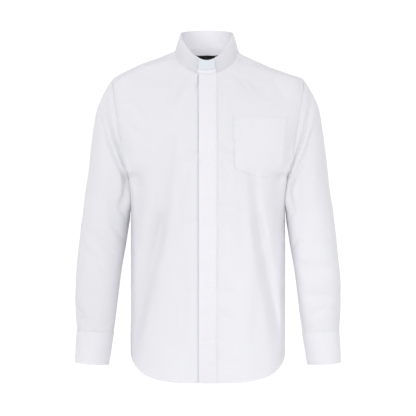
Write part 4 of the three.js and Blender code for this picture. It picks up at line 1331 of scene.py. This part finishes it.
def sleeve_sheet(side):
    turns = np.linspace(0, 2 * np.pi, 149)[:-1]
    shares = spread(480, step=2.9, fine_step=1.0)
    points = sleeve_point(side, turns[:, None], shares[None, :])
    head = np.exp(-(shares / HEAD_SHARE) ** 2)[None, :, None]
    middle = points.mean(axis=0, keepdims=True)
    points = points + head * (HEAD_TUCK * (middle - points) - np.array((side * HEAD_SHIFT, 0, 0)))
    centre = points.mean(axis=0, keepdims=True)
    return Sheet(points, lambda spots: spots - centre, wrap=True)


def placket_sheet(side):
    across = np.linspace(-1, 1, 31)
    down = spread(125, 2.4, 10, 0.8)
    above = 1 - soft_step(down[None, :], -PLACKET_POINT, PLACKET_POINT)
    narrow = 1 - above * 1.9 * np.abs(across[:, None])
    turn = LAP_TURN + across[:, None] * PLACKET_HALF_TURN * np.maximum(narrow, 0.2)
    points = sleeve_point(side, turn, mix(*PLACKET_SPAN, down)[None, :])
    middle = np.array((side * FOREARM_MIDDLE[0], FOREARM_MIDDLE[1], 0))
    sheet = Sheet(points, lambda spots: (spots - middle) * (1, 1, 0))
    sheet.push(PLACKET_LIFT)
    for edge in ("u0", "u1"):
        sheet.seam(edge, EDGE_STITCH, depth=0.3, width=0.7)
    return sheet


def cuff_sheet(side):
    turns = LAP_TURN + spread(1, 0.0066, 0.03, 0.003) * (2 * np.pi + CUFF_LAP_TURN)
    down = spread(75, 1.6, 9, 0.7)
    left = LAP_TURN + 2 * np.pi - turns
    step = (1 - soft_step(left, 0, CUFF_STEP_TURN)) * CUFF_STEP
    outer, inner = (mix(np.array(CUFF_SEAM[k], float), np.array(CUFF_HEM[k], float),
                        down[None, :, None]) for k in ("outer", "inner"))
    depth = mix(CUFF_SEAM["depth"], CUFF_HEM["depth"], down[None, :])
    middle_y = mix(CUFF_SEAM["y"], CUFF_HEM["y"], down[None, :])
    points = ring_point(outer, inner, depth, middle_y, turns[:, None], -step[:, None])
    points = points * (side, 1, 1) + (0, 0, 0.8)
    centre = points.mean(axis=(0, 1))
    sheet = Sheet(points, lambda spots: (spots - centre) * (1, 1, 0))
    run = sheet.distance("u0")
    bow = 0.9 + 0.5 * np.sin(np.pi * down)[None, :]
    sheet.push(bow + uneven(run, down[None, :] * 75, seed=80 + side, size=0.18))
    sheet.push(pucker(sheet.distance("v0"), run, seed=82 + side, size=0.3, reach=8))
    sheet.seam("v0", EDGE_STITCH, depth=0.15, width=0.7)
    for edge in ("v1", "u0", "u1"):
        sheet.seam(edge, CUFF_STITCH, depth=0.3, width=0.8)
    return sheet


cuffs = {}
for side, word in ((-1, "right"), (1, "left")):
    make(f"sleeve_{word}", sleeve_sheet(side), CLOTH)
    make(f"sleeve_placket_{word}", placket_sheet(side), CLOTH)
    cuffs[word] = cuff_sheet(side)
    make(f"cuff_{word}", cuffs[word], BAND)

# %% [markdown]
# The woven label lies inside the yoke, below the band. Its black satin shows through the neck.

# %% Label
LABEL_HALF_WIDTH = 31
LABEL_SPAN = (0.16, 0.49)
ROUND_PROBE = 0.4


def label_sheet():
    across = np.linspace(-1, 1, 45)[:, None]
    down = np.linspace(*LABEL_SPAN, 24)[None, :]
    near = yoke_point(np.full(down.shape, ROUND_PROBE), down)
    probe_x = near[..., 0] - NECK_SHIFT_X * (1 - down)
    share = ROUND_PROBE * np.abs(LABEL_HALF_WIDTH / probe_x)
    sheet = Sheet(yoke_point(across * share, down + 0 * across), torso_outward)
    sheet.push(-CLOTH - 0.5)
    return sheet


make("neck_label", label_sheet(), thickness=0.6, kind="satin")

# %% [markdown]
# A shirt button is turned from a resin disc: a raised rim, a shallow dish and four holes. It is
# modelled once from a cylinder, with two insets, a bevel and a drill, and each copy is placed on
# its cuff. The buttons of the fly are hidden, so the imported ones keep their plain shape.

# %% Buttons
BUTTON_RADIUS = 5.6
BUTTON_THICK = 2.4
RIM_WIDTH = 1.3
DISH_SLOPE = 0.5
DISH_DEPTH = 0.6
SOFT_EDGE = 0.28
HOLE_RADIUS = 0.75
HOLE_SPREAD = 1.35
DRILL_LENGTH = 10
BAR_RADIUS = 0.42
BAR_LENGTH = 2.1
BAR_HEIGHT = 0.85


def add_cylinder(vertices, radius, depth, place=(0, 0, 0), rotation=(0, 0, 0)):
    bpy.ops.object.select_all(action="DESELECT")
    bpy.ops.mesh.primitive_cylinder_add(vertices=vertices, radius=radius / 1000,
                                        depth=depth / 1000, rotation=rotation,
                                        location=[value / 1000 for value in place])
    return bpy.context.active_object


def model_button():
    button = add_cylinder(48, BUTTON_RADIUS, BUTTON_THICK)
    bpy.ops.object.mode_set(mode="EDIT")
    bpy.ops.mesh.select_mode(type="FACE")
    bpy.ops.mesh.select_all(action="DESELECT")
    bpy.ops.object.mode_set(mode="OBJECT")
    for face in button.data.polygons:
        face.select = face.normal.z > 0.9
    bpy.ops.object.mode_set(mode="EDIT")
    bpy.ops.mesh.inset(thickness=RIM_WIDTH / 1000)
    bpy.ops.mesh.inset(thickness=DISH_SLOPE / 1000, depth=-DISH_DEPTH / 1000)
    bpy.ops.object.mode_set(mode="OBJECT")
    apply_modifier(button, "soft edges", "BEVEL", width=SOFT_EDGE / 1000, segments=3,
                   limit_method="ANGLE", angle_limit=math.radians(30))
    for k in range(4):
        angle = math.radians(45 + 90 * k)
        spot = (HOLE_SPREAD * math.cos(angle), HOLE_SPREAD * math.sin(angle), 0)
        drill = add_cylinder(16, HOLE_RADIUS, DRILL_LENGTH, spot)
        apply_modifier(button, "hole", "BOOLEAN", operation="DIFFERENCE", object=drill,
                       solver="EXACT")
        bpy.data.objects.remove(drill)
    return button


def model_thread():
    """Two bars of thread across the holes, on top of the button."""
    beside = HOLE_SPREAD * math.sin(math.radians(45))
    bars = [add_cylinder(10, BAR_RADIUS, BAR_LENGTH, (0, y, BAR_HEIGHT), (0, math.radians(90), 0))
            for y in (-beside, beside)]
    for bar in bars:
        bar.select_set(True)
    bpy.ops.object.join()
    bpy.ops.object.transform_apply(location=True, rotation=True, scale=True)
    return bpy.context.active_object


def place_copy(source, name, centre, axis):
    copy = bpy.data.objects.new(name, source.data.copy())
    bpy.context.scene.collection.objects.link(copy)
    turn = Vector(axis).to_track_quat("Z", "X").to_matrix().to_4x4()
    turn.translation = Vector(centre)
    copy.data.transform(turn)
    activate(copy)
    bpy.ops.object.shade_smooth_by_angle(angle=math.radians(35))
    return copy


button = model_button()
thread = model_thread()
threads = []
for side, word in ((-1, "right"), (1, "left")):
    low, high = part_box(f"cuff_button_{word}")
    centre = (Vector(low) + Vector(high)) / 2
    spots, normals = cuffs[word].points.reshape(-1, 3), cuffs[word].normals().reshape(-1, 3)
    axis = normals[np.argmin(np.linalg.norm(spots / 1000 - np.array(centre), axis=1))]
    pieces[f"cuff_button_{word}"] = place_copy(button, f"resin_cuff_button_{word}", centre, axis)
    threads.append(place_copy(thread, f"thread_cuff_button_{word}", centre, axis))
bpy.data.objects.remove(button)
bpy.data.objects.remove(thread)

# %% [markdown]
# Cotton poplin is a plain weave with fine crosswise ribs. It reflects light evenly with a very
# faint sheen from its fibre ends, and hardly shines. A part of the light goes through the thin
# cloth, which is why the inside of the collar and the yoke is nearly as bright as the outside.
# The threads are a quarter of a millimetre apart, too fine to show from this far, so the weave is
# drawn about four times as coarse.

# %% Cloth finish
WEAVE_PITCH = 0.001
SLUB_PITCH = 0.012
WEAVE_HEIGHT = 0.0001
SLUB_HEIGHT = 0.00008


def tones(tree, height, shade, colour):
    """A colour between two tones that follows the height of a pattern."""
    ramp = add_node(tree, "ShaderNodeValToRGB", None, {"Fac": height})
    for element, hex_colour in zip(ramp.color_ramp.elements, (shade, colour)):
        element.color = linear(hex_colour)
    return ramp.outputs["Color"]


def sine(tree, height):
    turns = add_node(tree, "ShaderNodeMath",
                     {"operation": "MULTIPLY", 1: 2 * math.pi / WEAVE_PITCH}, {0: height})
    return add_node(tree, "ShaderNodeMath", {"operation": "SINE"}, {0: turns.outputs[0]}).outputs[0]


def cloth_finish(name, colour, shade, roughness, sheen, bump, through):
    material, tree, shader = new_finish(name)
    behind = add_node(tree, "ShaderNodeBsdfTranslucent", {"Color": linear(colour)})
    both = add_node(tree, "ShaderNodeMixShader", {"Fac": through},
                    {1: shader.outputs["BSDF"], 2: behind.outputs["BSDF"]})
    tree.links.new(both.outputs[0], tree.nodes["Material Output"].inputs["Surface"])
    uv = add_node(tree, "ShaderNodeUVMap", {"uv_map": "cloth"})
    split = add_node(tree, "ShaderNodeSeparateXYZ", None, {"Vector": uv.outputs["UV"]})
    weave = add_node(tree, "ShaderNodeMath", {"operation": "MULTIPLY"},
                     {0: sine(tree, split.outputs["X"]), 1: sine(tree, split.outputs["Y"])})
    stretch = add_node(tree, "ShaderNodeMapping", {"Scale": (0.25, 1.0, 1.0)},
                       {"Vector": uv.outputs["UV"]})
    slub = add_node(tree, "ShaderNodeTexNoise",
                    {"Scale": 1 / SLUB_PITCH, "Detail": 3.0, "Roughness": 0.55},
                    {"Vector": stretch.outputs["Vector"]})
    fine = add_node(tree, "ShaderNodeBump", {"Strength": bump, "Distance": WEAVE_HEIGHT},
                    {"Height": weave.outputs[0]})
    broad = add_node(tree, "ShaderNodeBump", {"Strength": bump, "Distance": SLUB_HEIGHT},
                     {"Height": slub.outputs[0], "Normal": fine.outputs["Normal"]})
    tree.links.new(tones(tree, slub.outputs[0], shade, colour), shader.inputs["Base Color"])
    tree.links.new(broad.outputs["Normal"], shader.inputs["Normal"])
    for key, value in (("Roughness", roughness), ("Sheen Weight", sheen),
                       ("Sheen Roughness", 0.5), ("Specular IOR Level", 0.3)):
        shader.inputs[key].default_value = value
    return material


# Each has its colour, shade, roughness, sheen, bump and the share of the light that goes through
poplin = cloth_finish("bleached_cotton_poplin", "#F3F3F6", "#F0F0F3", 0.82, 0.08, 0.3, 0.38)
doubled = cloth_finish("doubled_cotton_poplin", "#F2F2F6", "#EFEFF3", 0.82, 0.08, 0.3, 0.29)
fused = cloth_finish("fused_cotton_poplin", "#F5F3F8", "#F2F1F6", 0.78, 0.08, 0.25, 0.26)
# The cuffs are the same fused poplin as the fly, but their finish is a darker copy of it: the
# difference is painted shade.
cuff_poplin_painted_shade = cloth_finish("cuff_cotton_poplin_painted_shade", "#EEEEF2", "#EBEBEF", 0.8, 0.08, 0.25, 0.26)
# The neckband is the same fused poplin too, and its darker, cooler copy is painted shade.
collar_poplin_painted_shade = cloth_finish("collar_cotton_poplin_painted_shade", "#EDECEF", "#EAE9ED", 0.82, 0.06, 0.25, 0.4)
satin = cloth_finish("black_satin_label", "#060607", "#080809", 0.55, 0.04, 0.3, 0.0)
print("cloth finishes ready")

# %% [markdown]
# The tab is a moulded plastic strip, smooth and slightly cool in colour, with the soft shine of
# polypropylene. The buttons are polished polyester resin, and the thread is spun polyester, which
# shines a little more than the cloth.

# %% Plastic, resin and thread finishes
def plain_finish(name, colour, shade, roughness, ior, grain):
    material, tree, shader = new_finish(name)
    place = add_node(tree, "ShaderNodeTexCoord")
    noise = add_node(tree, "ShaderNodeTexNoise", {"Scale": 1 / grain, "Detail": 2.0},
                     {"Vector": place.outputs["Object"]})
    bump = add_node(tree, "ShaderNodeBump", {"Strength": 0.15, "Distance": grain / 20},
                    {"Height": noise.outputs[0]})
    tree.links.new(tones(tree, noise.outputs[0], shade, colour), shader.inputs["Base Color"])
    tree.links.new(bump.outputs["Normal"], shader.inputs["Normal"])
    shader.inputs["Roughness"].default_value = roughness
    shader.inputs["IOR"].default_value = ior
    return material


tab_plastic = plain_finish("moulded_polypropylene_tab", "#D1D6DC", "#CED3DA", 0.38, 1.49, 0.006)
resin = plain_finish("polished_polyester_resin", "#F4F3EE", "#E9E8E2", 0.22, 1.54, 0.003)
thread_finish = plain_finish("spun_polyester_thread", "#F3F4F7", "#E8EAEE", 0.6, 1.45, 0.0008)

# %% [markdown]
# Every piece now gets its finish and rides on the one body, and the solid that it covers is hidden.
# Each sheet already carries the flat size and area of what shows from its sewing. The stitches
# and threads get the thread's finish. The imported buttons under the fly get the resin of the
# others.

FINISH = {
    "back": (poplin, "poplin"),
    "yoke": (poplin, "poplin"),
    "pocket": (doubled, "poplin"),
    "fly_placket": (fused, "fused_poplin"),
    "neckband": (collar_poplin_painted_shade, "fused_poplin"),
    "neckband_underlap": (fused, "fused_poplin"),
    "collar_tab": (tab_plastic, "tab"),
    "neck_label": (satin, "label"),
}
for word in ("left", "right"):
    FINISH[f"front_{word}"] = FINISH[f"sleeve_{word}"] = (poplin, "poplin")
    FINISH[f"sleeve_placket_{word}"] = (fused, "fused_poplin")
    FINISH[f"cuff_{word}"] = (cuff_poplin_painted_shade, "fused_poplin")
    FINISH[f"cuff_button_{word}"] = (resin, "button")

for node, piece in pieces.items():
    finish, slot = FINISH[node]
    piece.data.materials.clear()
    piece.data.materials.append(finish)
    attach(piece, "root")
    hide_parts(node)
for piece in [*stitches.values(), *threads]:
    piece.data.materials.append(thread_finish)
    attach(piece, "root")
for node, piece in pieces.items():
    if FINISH[node][1] in ("tab", "button"):
        continue
for node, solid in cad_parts.items():
    if node.startswith("fly_button"):
        solid.data.materials.clear()
        solid.data.materials.append(resin)
